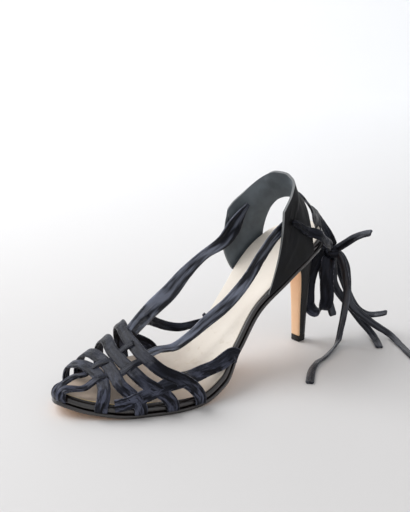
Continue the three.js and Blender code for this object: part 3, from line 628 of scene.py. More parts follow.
# %% The last's surface
VAMP_HEIGHT = 40
STRAP = 1.4
CAGE_WIDTH = 7.6
LANE_WIDTH = 5.6
TOE_BAND_WIDTH = 9.6
SIDE_WIDTH = 9
ANKLE_WIDTH = 8.6
STRAP_PITCH = 0.9
RIDGE_SECTIONS = [
    (0.527, 1.52), (0.603, 1.22), (0.679, 0.93), (0.756, 0.63), (0.832, 0.4), (0.908, 0.215),
    (0.969, 0.13), (1, 0.11),
]
ridge_at = column_curve(RIDGE_SECTIONS, 1)


def last_point(at, over):
    """over is -1 at the inner edge, 0 on the ridge, 1 at the outer edge, and past an edge the
    surface runs down the footbed's side."""
    middle, half = outline(at, -SEAM)
    turn = min(abs(over), 1) * math.pi / 2
    out = math.copysign(math.sin(turn) ** 0.8, over) * half
    down = max(abs(over) - 1, 0) * FOOTBED
    high = ridge_at(at) * VAMP_HEIGHT * max(math.cos(turn), 0) ** 0.8
    return np.array([station_x(at), middle + out, footbed_z(at) + SEAM + high - down])


def last_normal(at, over):
    da, dv = 0.004, 0.02
    side = min(max(over, -0.98), 0.98)
    along = last_point(at + da, side) - last_point(at - da, side)
    across = last_point(at, side + dv) - last_point(at, side - dv)
    return unit(np.cross(along, across))


def on_last(at, over, lift):
    return last_point(at, over) + last_normal(at, over) * lift


# %% Lay the woven straps
CROSS_STRAPS = {
    "cage_strap_toe": [
        (-1, 0.88), (-0.49, 0.875), (-0.1, 0.871), (0.21, 0.885), (0.6, 0.91), (1, 0.923)],
    "cage_strap_second": [
        (-1, 0.825), (-0.56, 0.82), (-0.1, 0.831), (0.18, 0.847), (0.51, 0.857), (1, 0.829)],
    "cage_strap_third": [
        (-1, 0.746), (-0.45, 0.759), (-0.02, 0.8), (0.23, 0.81), (0.62, 0.8), (1, 0.742)],
    "cage_strap_instep": [
        (-1, 0.661), (-0.46, 0.702), (0.05, 0.756), (0.33, 0.763), (0.64, 0.74), (1, 0.652)],
}
INNER_STAY = [(-0.42, 0.706), (-0.8, 0.655), (-1, 0.577)]
TOE_LANES = {
    "cage_lane_middle": [
        (-0.12, 0.959), (-0.08, 0.931), (-0.06, 0.878), (0, 0.831), (0, 0.788), (0.03, 0.752)],
    "cage_lane_outer": [
        (0.3, 0.959), (0.2, 0.926), (0.15, 0.878), (0.25, 0.832), (0.26, 0.788), (0.25, 0.757)],
}
TOE_BAND_BESIDE = [-0.16, 0.3]
OUTER_LANE = [(0.93, 0.894), (0.83, 0.837), (0.78, 0.786), (0.75, 0.748), (0.78, 0.71)]
CROSSING = 0.763
SPACING = 0.0428
STATION_SCALE = 4


def last_path(rows, weave=0, lift=0, first=True, last=True):
    """Points and face directions of a strap on the last, with its ends down the footbed's side."""
    flat = [(over, at * STATION_SCALE) for over, at in rows]
    rough = [last_point(at, over) for over, at in rows]
    places = [(over, at / STATION_SCALE)
              for over, at in spline(flat, steps_for(rough, STRAP_PITCH), 0)]
    down = [1.25, 1.5, 1.75, 2]
    if first:
        over, at = places[0]
        places = [(math.copysign(d, over), at) for d in down[::-1]] + places
    if last:
        over, at = places[-1]
        places += [(math.copysign(d, over), at) for d in down]
    rises = [lift + STRAP / 2 + weave * math.cos(math.pi * (at - CROSSING) / SPACING)
             for _, at in places]
    path = np.array([on_last(at, over, rise) for (over, at), rise in zip(places, rises)])
    looks = np.array([last_normal(at, over) for over, at in places])
    return path, looks


# Creases of each strap, as creases_at takes them. A negative place counts back from the end.
CREASES = {
    "cage_strap_toe": [
        (-8, 0.5, 15, 7, 1.0, -0.4), (-5.5, 0, -10, 6, 0.8, 0.35), (-14, -1, 30, 6, 1.2, 0.3),
        (12, 0, 10, 6, 1.3, 0.35), (30, 1, 80, 12, 1.0, 0.25),
    ],
    "cage_strap_second": [
        (-9, 0, 25, 7, 1.1, -0.4), (-6, 1, 5, 6, 0.9, 0.35), (-24, -1, 75, 16, 1.1, 0.3),
        (26, 1, 84, 18, 1.0, 0.3), (15, 0, -12, 6, 1.4, -0.35),
    ],
    "cage_strap_third": [
        (-10, 0, -20, 7, 1.2, -0.35), (-28, 1.2, 82, 22, 1.0, 0.3), (34, -1, 96, 20, 1.1, 0.3),
        (22, 0, 12, 6, 1.4, -0.35),
    ],
    "cage_strap_instep": [
        (-12, 0, 18, 7, 1.2, -0.35), (-34, -1.2, 98, 26, 1.0, 0.35), (36, 0.8, 86, 20, 1.0, 0.35),
        (24, 0, -14, 6, 1.5, -0.35), (-20, 1, 70, 14, 1.1, 0.3),
    ],
    "cage_stay_inner": [
        (14, 0, 70, 16, 1.3, 0.4),
    ],
    "cage_lane_edge": [
        (8, 0.6, 80, 12, 1.0, 0.4), (16, -1, 60, 10, 1.1, -0.35), (26, 0.8, 94, 16, 1.0, 0.35),
        (3, 0, 10, 6, 0.9, 0.35),
    ],
    "ankle_strap_inner": [
        (16, 0, 90, 40, 0.8, -0.6), (22, 2.2, 90, 40, 1.1, 0.35), (46, -1.8, 94, 44, 1.1, 0.45),
        (52, 1.6, 86, 44, 1.0, -0.45), (84, 0.4, 82, 30, 1.0, 0.5),
        (98, -1.4, 96, 24, 0.9, -0.45), (112, 1.0, 84, 22, 0.9, 0.45),
        (124, -1, 100, 18, 0.9, -0.4),
    ],
    "ankle_strap_outer": [
        (16, 0, 90, 44, 0.8, -0.7), (36, 1.4, 86, 26, 0.8, 0.5), (54, -1.2, 94, 36, 0.9, 0.55),
        (62, 1.2, 84, 32, 0.9, -0.5), (84, 0.4, 80, 34, 0.9, 0.6), (92, -1.8, 96, 30, 0.8, -0.5),
        (108, 0.8, 98, 26, 0.8, -0.5), (118, -0.8, 82, 26, 0.9, 0.55),
        (134, 0.4, 88, 18, 0.8, 0.5),
    ],
    "side_strap_inner": [
        (24, 1.3, 88, 40, 0.8, 0.5), (26, -1.1, 92, 40, 0.8, 0.45), (22, 0.1, 90, 34, 0.5, -0.35),
    ],
    "side_strap_outer": [
        (26, 1.4, 84, 26, 1.1, 0.4), (36, -1.2, 96, 30, 1.2, -0.4), (48, 0.6, 78, 14, 1.1, 0.35),
    ],
    "cage_lane_middle": [
        (6, 1, 84, 12, 0.9, 0.5), (9, -1.6, 100, 12, 0.8, -0.5), (15, 0.8, 88, 14, 0.7, 0.45),
    ],
    "cage_lane_outer": [
        (6, -1.2, 96, 12, 0.8, 0.5), (9, 1.2, 80, 12, 0.9, -0.45), (17, -0.4, 90, 18, 0.7, 0.45),
    ],
    "tie_wrap_inner": [
        (14, 0.8, 86, 24, 0.9, 0.4), (40, -1, 94, 26, 1.0, -0.4), (64, 0.8, 84, 20, 0.9, 0.5),
        (80, -0.8, 96, 20, 0.9, -0.45),
    ],
    "tie_wrap_outer": [
        (5, 0.5, 84, 10, 0.6, 0.6), (9, -0.6, 100, 9, 0.6, -0.5), (14, 0.9, 20, 5, 0.9, 0.5),
        (26, -1, 84, 18, 0.9, 0.5), (38, 0.8, 96, 20, 0.9, -0.5),
    ],
}


def add_strap(name, path, looks, width, thick=STRAP, finish="strap leather", **shape):
    points, faces, values = strip(path, looks, width, thick, creases=CREASES.get(name, ()), **shape)
    return add_piece(name, points, faces, [finish], values)


for number, (name, rows) in enumerate(CROSS_STRAPS.items()):
    path, looks = last_path(rows, lift=0.5)
    add_strap(name, path, looks, CAGE_WIDTH, crumple=0.24, seed=number * 5.3)
path, looks = last_path(INNER_STAY, lift=0.2, first=False)
add_strap("cage_stay_inner", path, looks, CAGE_WIDTH, crumple=0.1, seed=31)


def toe_lane(name, rows, beside, weave, seed):
    """A band that starts under the toe's tip, narrows, and runs on as a lane of the cage."""
    blunt = (outer_at(1) + inner_at(1)) / 2 * BALL_WIDTH
    set_back = TOE_ROUND * (1 - math.sqrt(1 - (beside / blunt) ** 2))
    tip_x = station_x(1) + STRAP / 2 - set_back
    y = outline(0.995, 0)[0] + beside
    z = footbed_z(1)
    lane, lane_looks = last_path(rows, weave=weave, lift=0.5, first=False, last=False)
    points = [(tip_x, y, z - FOOTBED), (tip_x + 0.2, y, z), (tip_x - 1.6, y, z + 2.9),
              *lane[4::4]]
    looks = [(1, beside / blunt, 0), (1, beside / blunt, 0.3), (0.5, 0, 1), *lane_looks[4::4]]
    path = spline(points, steps_for(points, STRAP_PITCH))
    run = distance_along(path)
    stops = distance_along(np.array(points, float))
    stops *= run[-1] / stops[-1]
    facing = unit(np.stack([np.interp(run, stops, column) for column in unit(looks).T], 1))
    wide = np.interp(run, (0, 4, 11, 17),
                     (TOE_BAND_WIDTH, TOE_BAND_WIDTH * 0.95, LANE_WIDTH, LANE_WIDTH * 0.92))
    rough = np.interp(run, (0, 14, 20), (0.4, 0.35, 0.12))
    return add_strap(name, path, facing, wide, curl=-0.12, crumple=rough, seed=seed)


for number, (name, rows) in enumerate(TOE_LANES.items()):
    beside = TOE_BAND_BESIDE[number] * TOE_BAND_WIDTH
    weave = 0.95 * (1 - 2 * number)
    toe_lane(name, rows, beside, weave, 40 + number * 4)
path, looks = last_path(OUTER_LANE, lift=0.3, first=False, last=False)
add_strap("cage_lane_edge", path, looks, CAGE_WIDTH, crumple=0.15, seed=55)
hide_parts("upper")

# %% [markdown]
# ## Straps in the open
# One low strap on each side runs down to the sole's edge, and two long straps rise to the collar.
# These twist in the air. Their faces turn between the directions listed for them, and they are
# wider where they lie open and narrower where they fold.

# %% Lay the open straps
INNER_ANKLE = [
    (0.726, -0.103, 0.75), (0.655, -0.21, 0.8), (0.584, -0.315, 0.77), (0.515, -0.336, 0.78),
    (0.448, -0.342, 0.8), (0.381, -0.322, 0.72), (0.318, -0.258, 0.64), (0.277, -0.258, 0.65),
    (0.246, -0.264, 0.71), (0.211, -0.262, 0.77),
]
OUTER_ANKLE = [
    (0.76, 0.164, 0.58), (0.724, 0.116, 0.51), (0.677, 0.082, 0.5), (0.609, 0.068, 0.41),
    (0.549, 0.089, 0.44), (0.496, 0.11, 0.46), (0.419, 0.151, 0.42), (0.359, 0.192, 0.45),
    (0.317, 0.233, 0.62), (0.279, 0.274, 0.75), (0.232, 0.283, 0.75),
]
INNER_ANKLE_WIDTHS = [(0, 0.95), (0.35, 1.25), (0.66, 0.8), (0.84, 1.3), (1, 0.3)]
OUTER_ANKLE_WIDTHS = [(0, 0.75), (0.3, 0.7), (0.5, 0.92), (1, 0.86)]
INNER_SIDE = [
    (0.635, -0.222, 0.75), (0.586, -0.342, 0.54), (0.529, -0.342, 0.27), (0.479, -0.301, 0.05),
    (0.44, -0.233, -0.04), (0.414, -0.171, -0.06),
]
OUTER_SIDE = [(0.654, 0.455, 0.28), (0.599, 0.43, 0.23), (0.542, 0.415, 0.13)]


def route_point(row):
    at, out, above = row
    return (station_x(at), out * BALL_WIDTH, footbed_z(at) + above * VAMP_HEIGHT)


def over_edge(at, side, slant):
    middle, half = outline(at, -SEAM - STRAP / 2)
    y = middle + side * half
    return [tuple(sole_point(at, y, -1)), tuple(sole_point(at - slant, y, FOOTBED))]


def open_strap(name, points, looks, width, crumple=0.2, **shape):
    """A strap in the open, whose width is a function of the share of its length."""
    path = spline(points, steps_for(points, STRAP_PITCH))
    facing = unit(spread([unit(look) for look in looks], len(path)))
    wide = np.array([width(share) for share in np.linspace(0, 1, len(path))])
    return add_strap(name, path, facing, wide, curl=0.1, crumple=crumple, **shape)


OUTWARD, SKYWARD, LOW = (0.2, 1, 0.3), (0, 0, 1), (0.2, 0.7, 0.7)
inner_wide = column_curve(INNER_ANKLE_WIDTHS, 1)
outer_wide = column_curve(OUTER_ANKLE_WIDTHS, 1)
open_strap("ankle_strap_inner", [route_point(row) for row in INNER_ANKLE],
           [(0.5, 0.75, 0.4), (0.3, 0.9, 0.3), (0.1, 1, 0.1)],
           lambda share: ANKLE_WIDTH * inner_wide(share), finish="open strap leather", seed=60)
open_strap("ankle_strap_outer", [route_point(row) for row in OUTER_ANKLE],
           [SKYWARD, (0, 0.6, 1), (0.2, 0.8, 0.5), OUTWARD, (0, 1, 0.1)],
           lambda share: ANKLE_WIDTH * outer_wide(share), crumple=0.35,
           finish="open strap leather", seed=66)
open_strap("side_strap_inner", [route_point(row) for row in INNER_SIDE] + over_edge(0.415, -1, 0),
           [(0, 1, 0.1), LOW, LOW, (-0.1, 1, -0.1)],
           lambda share: SIDE_WIDTH * (0.8 - 0.7 * share**3), seed=71)
lane_end = [tuple(on_last(at, over, STRAP / 2)) for over, at in OUTER_LANE[-2:]]
open_strap("side_strap_outer",
           lane_end + [route_point(row) for row in OUTER_SIDE] + over_edge(0.478, 1, 0.008),
           [OUTWARD, (0, 0.8, 1), (-0.2, 0.5, 1), OUTWARD], lambda share: SIDE_WIDTH, seed=77)
print("a low strap and a long strap on each side")

# %% [markdown]
# ## The collar
# The collar is one bent sheet of leather with a lining: a panel on each side of the heel and a
# band behind the ankle, with an open keyhole below the band. Its wall is a grid between the
# insole's edge and the rim. The keyhole and the two slits are cut through the finished wall, as a
# maker would punch them, so their edges show the leather's thickness.

# %% Build the collar's wall
COLLAR_HEIGHT = 40
COLLAR_WALL = 1.6
COLLAR_LAP = 1.4
REACH_INNER = 54.5
REACH_OUTER = 60.5
KEYHOLE_HEIGHT = 21
KEYHOLE_FRONT = 24.5
SLIT_LENGTH = 11
SLIT_WIDTH = 3
SLIT_REACH = 7
COLLAR_COLUMNS = 150
# Each row: the place round the collar, then the rim's station, its distance out, its height and
# how far the wall below it bows forward.
RIM_SECTIONS = [
    (-1, 0.284, -0.329, 0.12, 0.12), (-0.95, 0.283, -0.328, 0.22, 0.11),
    (-0.86, 0.262, -0.322, 0.362, 0.08), (-0.7, 0.218, -0.301, 0.528, 0.06),
    (-0.5, 0.188, -0.24, 0.713, 0.08), (-0.3, 0.175, -0.151, 0.841, 0.1),
    (-0.05, 0.174, -0.041, 0.918, 0.1), (0.15, 0.175, 0.068, 0.931, 0.06),
    (0.35, 0.182, 0.164, 0.897, 0.01), (0.55, 0.197, 0.24, 0.839, -0.03),
    (0.8, 0.221, 0.281, 0.68, -0.03), (1, 0.26, 0.308, 0.469, -0.075),
]
rim_x, rim_y, rim_up, rim_bow = (column_curve(RIM_SECTIONS, k) for k in range(1, 5))
SLITS = [(-0.58, 0.7, 40), (0.83, 0.7, 40)]


def collar_point(around, height):
    """The collar's inner face: around from the inner front corner, -1, round the back to the
    outer one, 1, and height from the insole's edge, 0, to the rim, 1."""
    seat_share = 0.4
    side = abs(around)
    reach = REACH_INNER if around < 0 else REACH_OUTER
    if side < seat_share:
        along = SEAT_ROUND * (1 - math.cos(side / seat_share * math.pi / 2))
    else:
        along = SEAT_ROUND + (side - seat_share) / (1 - seat_share) * (reach - SEAT_ROUND)
    at = along / SOLE_LENGTH
    middle, half = outline(max(at, 0.0005), -SEAM)
    y = middle + math.copysign(half, around)
    if height < 0:
        return sole_point(at, y, -height * COLLAR_LAP)
    base = sole_point(at, y, 0)
    rim = np.array([station_x(rim_x(around)), rim_y(around) * BALL_WIDTH,
                    SOLE_STACK + SEAT_RISE + rim_up(around) * COLLAR_HEIGHT])
    bow = rim_bow(around) * COLLAR_HEIGHT * math.sin(math.pi * height)
    return base + (rim - base) * height + np.array([bow, 0, 0])


def collar_normal(around, height):
    h = min(max(height, 0.03), 0.97)
    a = min(max(around, -0.985), 0.985)
    along = collar_point(a + 0.01, h) - collar_point(a - 0.01, h)
    rise = collar_point(a, h + 0.02) - collar_point(a, h - 0.02)
    normal = unit(np.cross(rise, along))
    if height <= 0:
        normal = unit(normal * (1, 1, 0))
    return normal


# The collar's creases: place round it and up it in millimetres, then as for a strap.
COLLAR_CREASES = [
    (49, 20, 40, 11, 1.3, -0.6), (55, 27, 62, 9, 1.1, 0.5), (44, 16, 22, 15, 1.8, -0.55),
    (56, 17, -22, 12, 1.6, 0.5), (40, 25, 75, 12, 1.5, 0.45), (47, 9, 60, 16, 1.8, 0.45),
    (30, 24, 96, 14, 1.7, -0.5), (-36, 25, 50, 14, 1.7, 0.55), (-44, 17, 32, 17, 2.0, -0.6),
    (-52, 12, 15, 14, 1.8, 0.45), (-30, 15, 8, 16, 2.0, 0.4), (-10, 30, 80, 18, 1.7, -0.5),
    (8, 31, 96, 18, 1.9, 0.5), (-22, 29, 70, 14, 1.5, 0.45), (18, 29, 105, 14, 1.6, -0.45),
]
CREASE_REACH_ROUND, CREASE_REACH_UP = 62, 34


def box_across(outline_xz):
    """Points and faces of a block whose outline is drawn from the side."""
    wide = BALL_WIDTH
    points = [(x, side, z) for side in (-wide, wide) for x, z in outline_xz]
    n = len(outline_xz)
    faces = [tuple(range(n)), tuple(range(2 * n - 1, n - 1, -1))]
    faces += [(k, k + n, (k + 1) % n + n, (k + 1) % n) for k in range(n)]
    return points, faces


def cut(piece, points, faces, finish_index):
    """Cuts a block out of a piece, whose cut faces take the piece's finish of that index."""
    mesh = bpy.data.meshes.new("cutter")
    mesh.from_pydata((np.array(points, float) * MM).tolist(), [], faces)
    for finish in piece.data.materials:
        mesh.materials.append(finish)
    mesh.polygons.foreach_set("material_index", [finish_index] * len(mesh.polygons))
    mesh.update()
    tool = bpy.data.objects.new("cutter", mesh)
    bpy.context.scene.collection.objects.link(tool)
    change = piece.modifiers.new("cut", "BOOLEAN")
    change.operation = "DIFFERENCE"
    change.solver = "EXACT"
    change.object = tool
    bpy.context.view_layer.update()
    graph = bpy.context.evaluated_depsgraph_get()
    result = bpy.data.meshes.new_from_object(piece.evaluated_get(graph))
    piece.modifiers.clear()
    old = piece.data
    piece.data = result
    bpy.data.objects.remove(tool)
    bpy.data.meshes.remove(mesh)
    bpy.data.meshes.remove(old)


def build_collar():
    heights = [-1, -0.5, 0] + list(np.linspace(0.04, 0.96, 34)) + [0.985, 1]
    rows = len(heights)
    ring_size = 2 * rows
    points = []
    for i in range(COLLAR_COLUMNS + 1):
        around = -1 + 2 * i / COLLAR_COLUMNS
        up = np.clip(heights, 0, 1)
        lift = creases_at(around * CREASE_REACH_ROUND, up * CREASE_REACH_UP, COLLAR_CREASES)
        lift *= np.minimum(up * 6, 1)
        inner = [collar_point(around, h) + collar_normal(around, h) * v
                 for h, v in zip(heights, lift)]
        outer = [p + collar_normal(around, h) * COLLAR_WALL for p, h in zip(inner, heights)]
        points += inner + outer[::-1]
    faces = tube_faces(COLLAR_COLUMNS + 1, ring_size, seam=1)
    cut_sides = (rows - 1, ring_size - 1)
    sides = [1 if k < rows - 1 else 2 if k in cut_sides else 0 for k in range(ring_size)]
    choice = sides * COLLAR_COLUMNS + [2] * 2 * (rows - 1)
    collar = add_piece("collar_leather", points, faces,
                       ["collar leather", "collar lining", "cut edge"],
                       choice=choice)
    front = KEYHOLE_FRONT - SEAT_OVERHANG
    top = SEAT_RISE + SOLE_STACK + KEYHOLE_HEIGHT
    far = -2 * SEAT_OVERHANG
    keyhole = [(far, 0), (front - 1, 0), (front + 0.8, SEAT_RISE), (front, top - 11),
               (front - 1.2, top - 5), (front - 3, top - 1.5), (front - 5.5, top), (far, top)]
    cut(collar, *box_across(keyhole), 2)
    for around, height, lean in SLITS:
        centre = collar_point(around, height)
        turn = math.radians(lean)
        corners = [(s * SLIT_LENGTH / 2, w * SLIT_WIDTH / 2)
                   for s, w in ((-1, -1), (-1, 1), (1, 1), (1, -1))]
        turned = [(x * math.cos(turn) + z * math.sin(turn), -x * math.sin(turn) + z * math.cos(turn))
                  for x, z in corners]
        block, sides = box_across(turned)
        near = [(x + centre[0], y / BALL_WIDTH * SLIT_REACH + centre[1], z + centre[2])
                for x, y, z in block]
        cut(collar, near, sides, 2)
    collar.data.set_sharp_from_angle(angle=math.radians(50))
    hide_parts("collar")
    return collar


collar = build_collar()
print("collar:", len(collar.data.polygons), "faces")

# %% [markdown]
# ## The ties round the collar
# Past the slits the two long straps are the ties. They lie on the collar's outside, run back over
# its edge and down to the knot. Each starts inside its slit, so that it is seen to come through.

# %% Lay the wrapped ties
WRAP_WIDTH = 7
INNER_TIE = [(-0.58, 0.7), (-0.45, 0.68), (-0.3, 0.65), (-0.15, 0.62), (0, 0.56), (0.12, 0.49),
             (0.2, 0.39)]
OUTER_TIE = [(0.83, 0.7), (0.74, 0.62), (0.64, 0.5), (0.55, 0.38), (0.46, 0.28)]
INNER_DROP = [(5, 13.2, 90.8), (1, 10.8, 88), (-3, 8.7, 84.4), (-7.4, 7.7, 79.5),
              (-12.8, 7.8, 72.5), (-17.4, 7.4, 64.7)]
OUTER_DROP = [(14.5, 27.4, 83), (8.5, 26.4, 78), (0.5, 22.8, 73.5), (-8, 16.4, 69), (-14, 11, 66),
              (-18, 7.9, 64.7)]
TIE_STAND = COLLAR_WALL + 3 * SEAM + TIE_THICKNESS / 2


def wrapped_tie(name, rows, drop, width, seed):
    points = [tuple(collar_point(a, h) + collar_normal(a, h) * TIE_STAND) for a, h in rows]
    looks = [collar_normal(a, h) for a, h in rows]
    looks += [unit((-0.6 + 0.2 * i, 0.8, 0.1)) for i in range(len(drop))]
    points += drop
    path = spline(points, steps_for(points, STRAP_PITCH))
    facing = unit(spread(looks, len(path)))
    wide = np.array([width(share) for share in np.linspace(0, 1, len(path))])
    return add_strap(name, path, facing, wide, thick=TIE_THICKNESS, curl=-0.1, crumple=0.35, seed=seed)


def inner_wrap_width(share):
    """The inner tie opens out where it leaves the collar."""
    return WRAP_WIDTH * (1 + 0.6 * min(max(4 * share - 1.6, 0), 1))


def outer_wrap_width(share):
    """The outer tie is squeezed in its slit and opens out past it."""
    return WRAP_WIDTH * min(0.5 + 1.4 * share, 1)


wraps = [wrapped_tie("tie_wrap_inner", INNER_TIE, INNER_DROP, inner_wrap_width, 90),
         wrapped_tie("tie_wrap_outer", OUTER_TIE, OUTER_DROP, outer_wrap_width, 95)]
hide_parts("tie_wraps")
print("wrapped ties:", [len(o.data.polygons) for o in wraps], "faces")

# %% [markdown]
# ## The knot
# A knot in flat leather is a small bundle: the strip goes round the ties in its middle and its
# turns press on each other. Three short turns of crumpled strip make it.

# %% Tie the knot
KNOT_MIDDLE = KNOT + (-0.8, 0.7, 0.3)
KNOT_TURNS = [
    {"axis": (0.3, 0.2, 1), "radius": 4.9, "width": 6.2},
    {"axis": (0.9, -0.5, 0.3), "radius": 4.6, "width": 5.6},
    {"axis": (-0.3, 0.9, 0.5), "radius": 4.2, "width": 5.2},
]


def knot_turn(axis, radius, width, seed):
    axis = unit(axis)
    first = unit(np.cross(axis, (0, 0.3, 1)))
    second = np.cross(axis, first)
    turns = np.linspace(0, 2 * math.pi * 0.97, 40)
    path = np.array([KNOT_MIDDLE + (first * math.cos(t) + second * math.sin(t) * 0.9) * radius
                     + axis * 0.5 * math.sin(t) for t in turns])
    looks = unit(path - KNOT_MIDDLE)
    return strip(path, looks, width, TIE_THICKNESS, curl=-0.35, crumple=0.6, seed=seed)


turns = [knot_turn(**turn, seed=100 + 7 * k) for k, turn in enumerate(KNOT_TURNS)]
points, faces, values = join_parts(turns)
knot = add_piece("tie_knot_turns", points, faces, ["strap leather"], values)
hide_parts("tie_knot")
print("knot:", len(faces), "faces")

# %% [markdown]
# ## Finishes
# Every finish is made from nodes, so that it follows the shoe from any side. A small class lets
# sums of sockets read as sums, and one method adds any other node.

# %% A class for shader maths
class Wire:
    """One output of a shader node. Sums and products of wires add Math nodes."""

    def __init__(self, tree, socket=None):
        self.tree = tree
        self.socket = socket

    def node(self, kind, settings=None, sockets=None, out=0):
        made = self.tree.nodes.new(kind)
        for key, value in (settings or {}).items():
            setattr(made, key, value)
        for key, value in (sockets or {}).items():
            self.plug(made.inputs[key], value)
        return Wire(self.tree, made.outputs[out])

    def plug(self, socket, value):
        if isinstance(value, Wire):
            self.tree.links.new(value.socket, socket)
        else:
            socket.default_value = value

    def maths(self, operation, *values):
        return self.node("ShaderNodeMath", {"operation": operation}, dict(enumerate(values)))

    def __add__(self, other):
        return self.maths("ADD", self, other)

    def __radd__(self, other):
        return self.maths("ADD", other, self)

    def __sub__(self, other):
        return self.maths("SUBTRACT", self, other)

    def __rsub__(self, other):
        return self.maths("SUBTRACT", other, self)

    def __mul__(self, other):
        return self.maths("MULTIPLY", self, other)

    def step(self, low, high):
        """0 below low, 1 above high, and an eased change between."""
        return self.node("ShaderNodeMapRange", {"interpolation_type": "SMOOTHSTEP"},
                         {"Value": self, "From Min": low, "From Max": high})

    def mix(self, other, factor):
        """This colour where the factor is 0, and the other, which may be plain, where it is 1."""
        return blend_colours(self, self, other, factor)


def colour_of(red, green, blue):
    """A colour given as it looks on a screen, 0 to 255, as the linear one that nodes take."""
    linear = [v / 12.92 if v <= 0.04045 else ((v + 0.055) / 1.055) ** 2.4
              for v in (red / 255, green / 255, blue / 255)]
    return (*linear, 1)


def blend_colours(wire, dark, light, factor):
    """The first colour where the factor is 0, and the second where it is 1."""
    sockets = {0: factor, 6: dark, 7: light}
    return wire.node("ShaderNodeMix", {"data_type": "RGBA"}, sockets, out=2)


def start_finish(name):
    """An empty material with its shader, and the place of a point in millimetres."""
    made = material(name)
    made.use_nodes = True
    tree = made.node_tree
    shader = tree.nodes["Principled BSDF"]
    wire = Wire(tree)
    spot = wire.node("ShaderNodeTexCoord", out=3)
    place = wire.node("ShaderNodeVectorMath", {"operation": "SCALE"}, {0: spot, "Scale": 1 / MM})
    return wire, shader, place


def speckle(wire, place, size, detail=3, rough=0.55):
    """Noise from 0 to 1 whose blotches are about size millimetres across."""
    return wire.node("ShaderNodeTexNoise", {"noise_dimensions": "3D"},
                     {"Vector": place, "Scale": 1 / size, "Detail": detail, "Roughness": rough})


def raised(wire, height, depth, below=None):
    """A bump whose height of 1 stands for depth millimetres."""
    sockets = {"Height": height, "Distance": depth * MM}
    if below is not None:
        sockets["Normal"] = below
    return wire.node("ShaderNodeBump", None, sockets)


def grain(wire, place, size):
    """Leather grain: soft cells with finer pores on them."""
    cells = wire.node("ShaderNodeTexVoronoi", {"feature": "SMOOTH_F1"},
                      {"Vector": place, "Scale": 1 / size})
    return cells + speckle(wire, place, size * 0.6) * 0.5


def carried(wire, name):
    """A value that the mesh carries at its points."""
    return wire.node("ShaderNodeAttribute", {"attribute_name": name}, out=2)


def plain_finish(name, size, colours, rough, grain_size, depth, waves=None, **sockets):
    """Leather or rubber whose colour and roughness change in clouds about size millimetres wide.
    Its bump is a grain, or the clouds themselves where grain_size is None."""
    wire, shader, place = start_finish(name)
    clouds = speckle(wire, place, size)
    dark, light = (colour_of(*colour) for colour in colours)
    least, change = rough
    factor = clouds.step(0.3, 0.7) if change else clouds
    wire.plug(shader.inputs["Base Color"], blend_colours(wire, dark, light, factor))
    wire.plug(shader.inputs["Roughness"], least + clouds * change if change else least)
    height = grain(wire, place, grain_size) if grain_size else clouds
    below = raised(wire, speckle(wire, place, waves[0], 2), waves[1]) if waves else None
    wire.plug(shader.inputs["Normal"], raised(wire, height, depth, below))
    for socket, value in sockets.items():
        shader.inputs[socket.replace("_", " ")].default_value = value


# %% Strap leather
def strap_finish(name, painted_sheen, share, gloss, shine=0):
    """Near-black leather with a painted blue sheen and painted highlights on its folded edges.
    The painted sheen runs along the strap, and shine adds broken painted glints low over the toes."""
    wire, shader, place = start_finish(name)
    across, along = carried(wire, "across"), carried(wire, "along")

    def drawn_out(lengthwise, crosswise, drift):
        sockets = {0: along * lengthwise, 1: across * crosswise, 2: along * drift}
        return wire.node("ShaderNodeCombineXYZ", None, sockets)

    clouds = speckle(wire, place, 9)
    edge = wire.maths("ABSOLUTE", across)
    # Painted highlight: the folded edges are made lighter, where their round edges catch the light.
    edge_highlight = edge.step(0.84, 1) * speckle(wire, place, 2.5).step(0.4, 0.7)
    # Painted glints: broken highlights laid into the straps' colour below about 27 mm, low over the
    # toes.
    low = 1 - wire.node("ShaderNodeSeparateXYZ", None, {0: place}, out=2).step(10, 27)
    glints = speckle(wire, drawn_out(0.16, 2.6, 0.02), 1.2, 3)
    folds = speckle(wire, drawn_out(0.35, 6, 0.02), 1.2, 2)
    sheen = speckle(wire, drawn_out(0.05, 1.5, 0.01), 1.3, 2)
    colour = blend_colours(wire, colour_of(5, 5, 7), colour_of(16, 17, 23), clouds.step(0.3, 0.7))
    # Painted sheen: lighter streaks along the strap stand in for its highlights.
    colour = colour.mix(painted_sheen, sheen.step(0.46, 0.7) * share)
    # Painted glints low over the toes.
    colour = colour.mix(colour_of(98, 102, 120), glints.step(0.44, 0.64) * low * shine)
    # Painted highlight on the folded edges.
    colour = colour.mix(colour_of(120, 122, 134), edge_highlight * 0.7)
    wire.plug(shader.inputs["Base Color"], colour)
    wire.plug(shader.inputs["Roughness"], 0.24 + clouds * 0.22)
    waves = raised(wire, sheen, 1.1, raised(wire, folds, 0.6))
    wire.plug(shader.inputs["Normal"], raised(wire, grain(wire, place, 0.55), 0.05, waves))
    shader.inputs["Specular IOR Level"].default_value = 0.4 * gloss
    shader.inputs["Specular Tint"].default_value = colour_of(222, 228, 255)
    shader.inputs["Coat Weight"].default_value = 0.6 * gloss
    shader.inputs["Coat Roughness"].default_value = 0.16


# Each finish gets the colour of its painted sheen and how much of the painted sheen shows.
strap_finish("strap leather", colour_of(54, 57, 68), 0.45, 0.2, shine=0.65)
strap_finish("tie leather", colour_of(78, 81, 88), 0.8, 0.5)
strap_finish("open strap leather", colour_of(126, 132, 148), 0.9, 0.6)

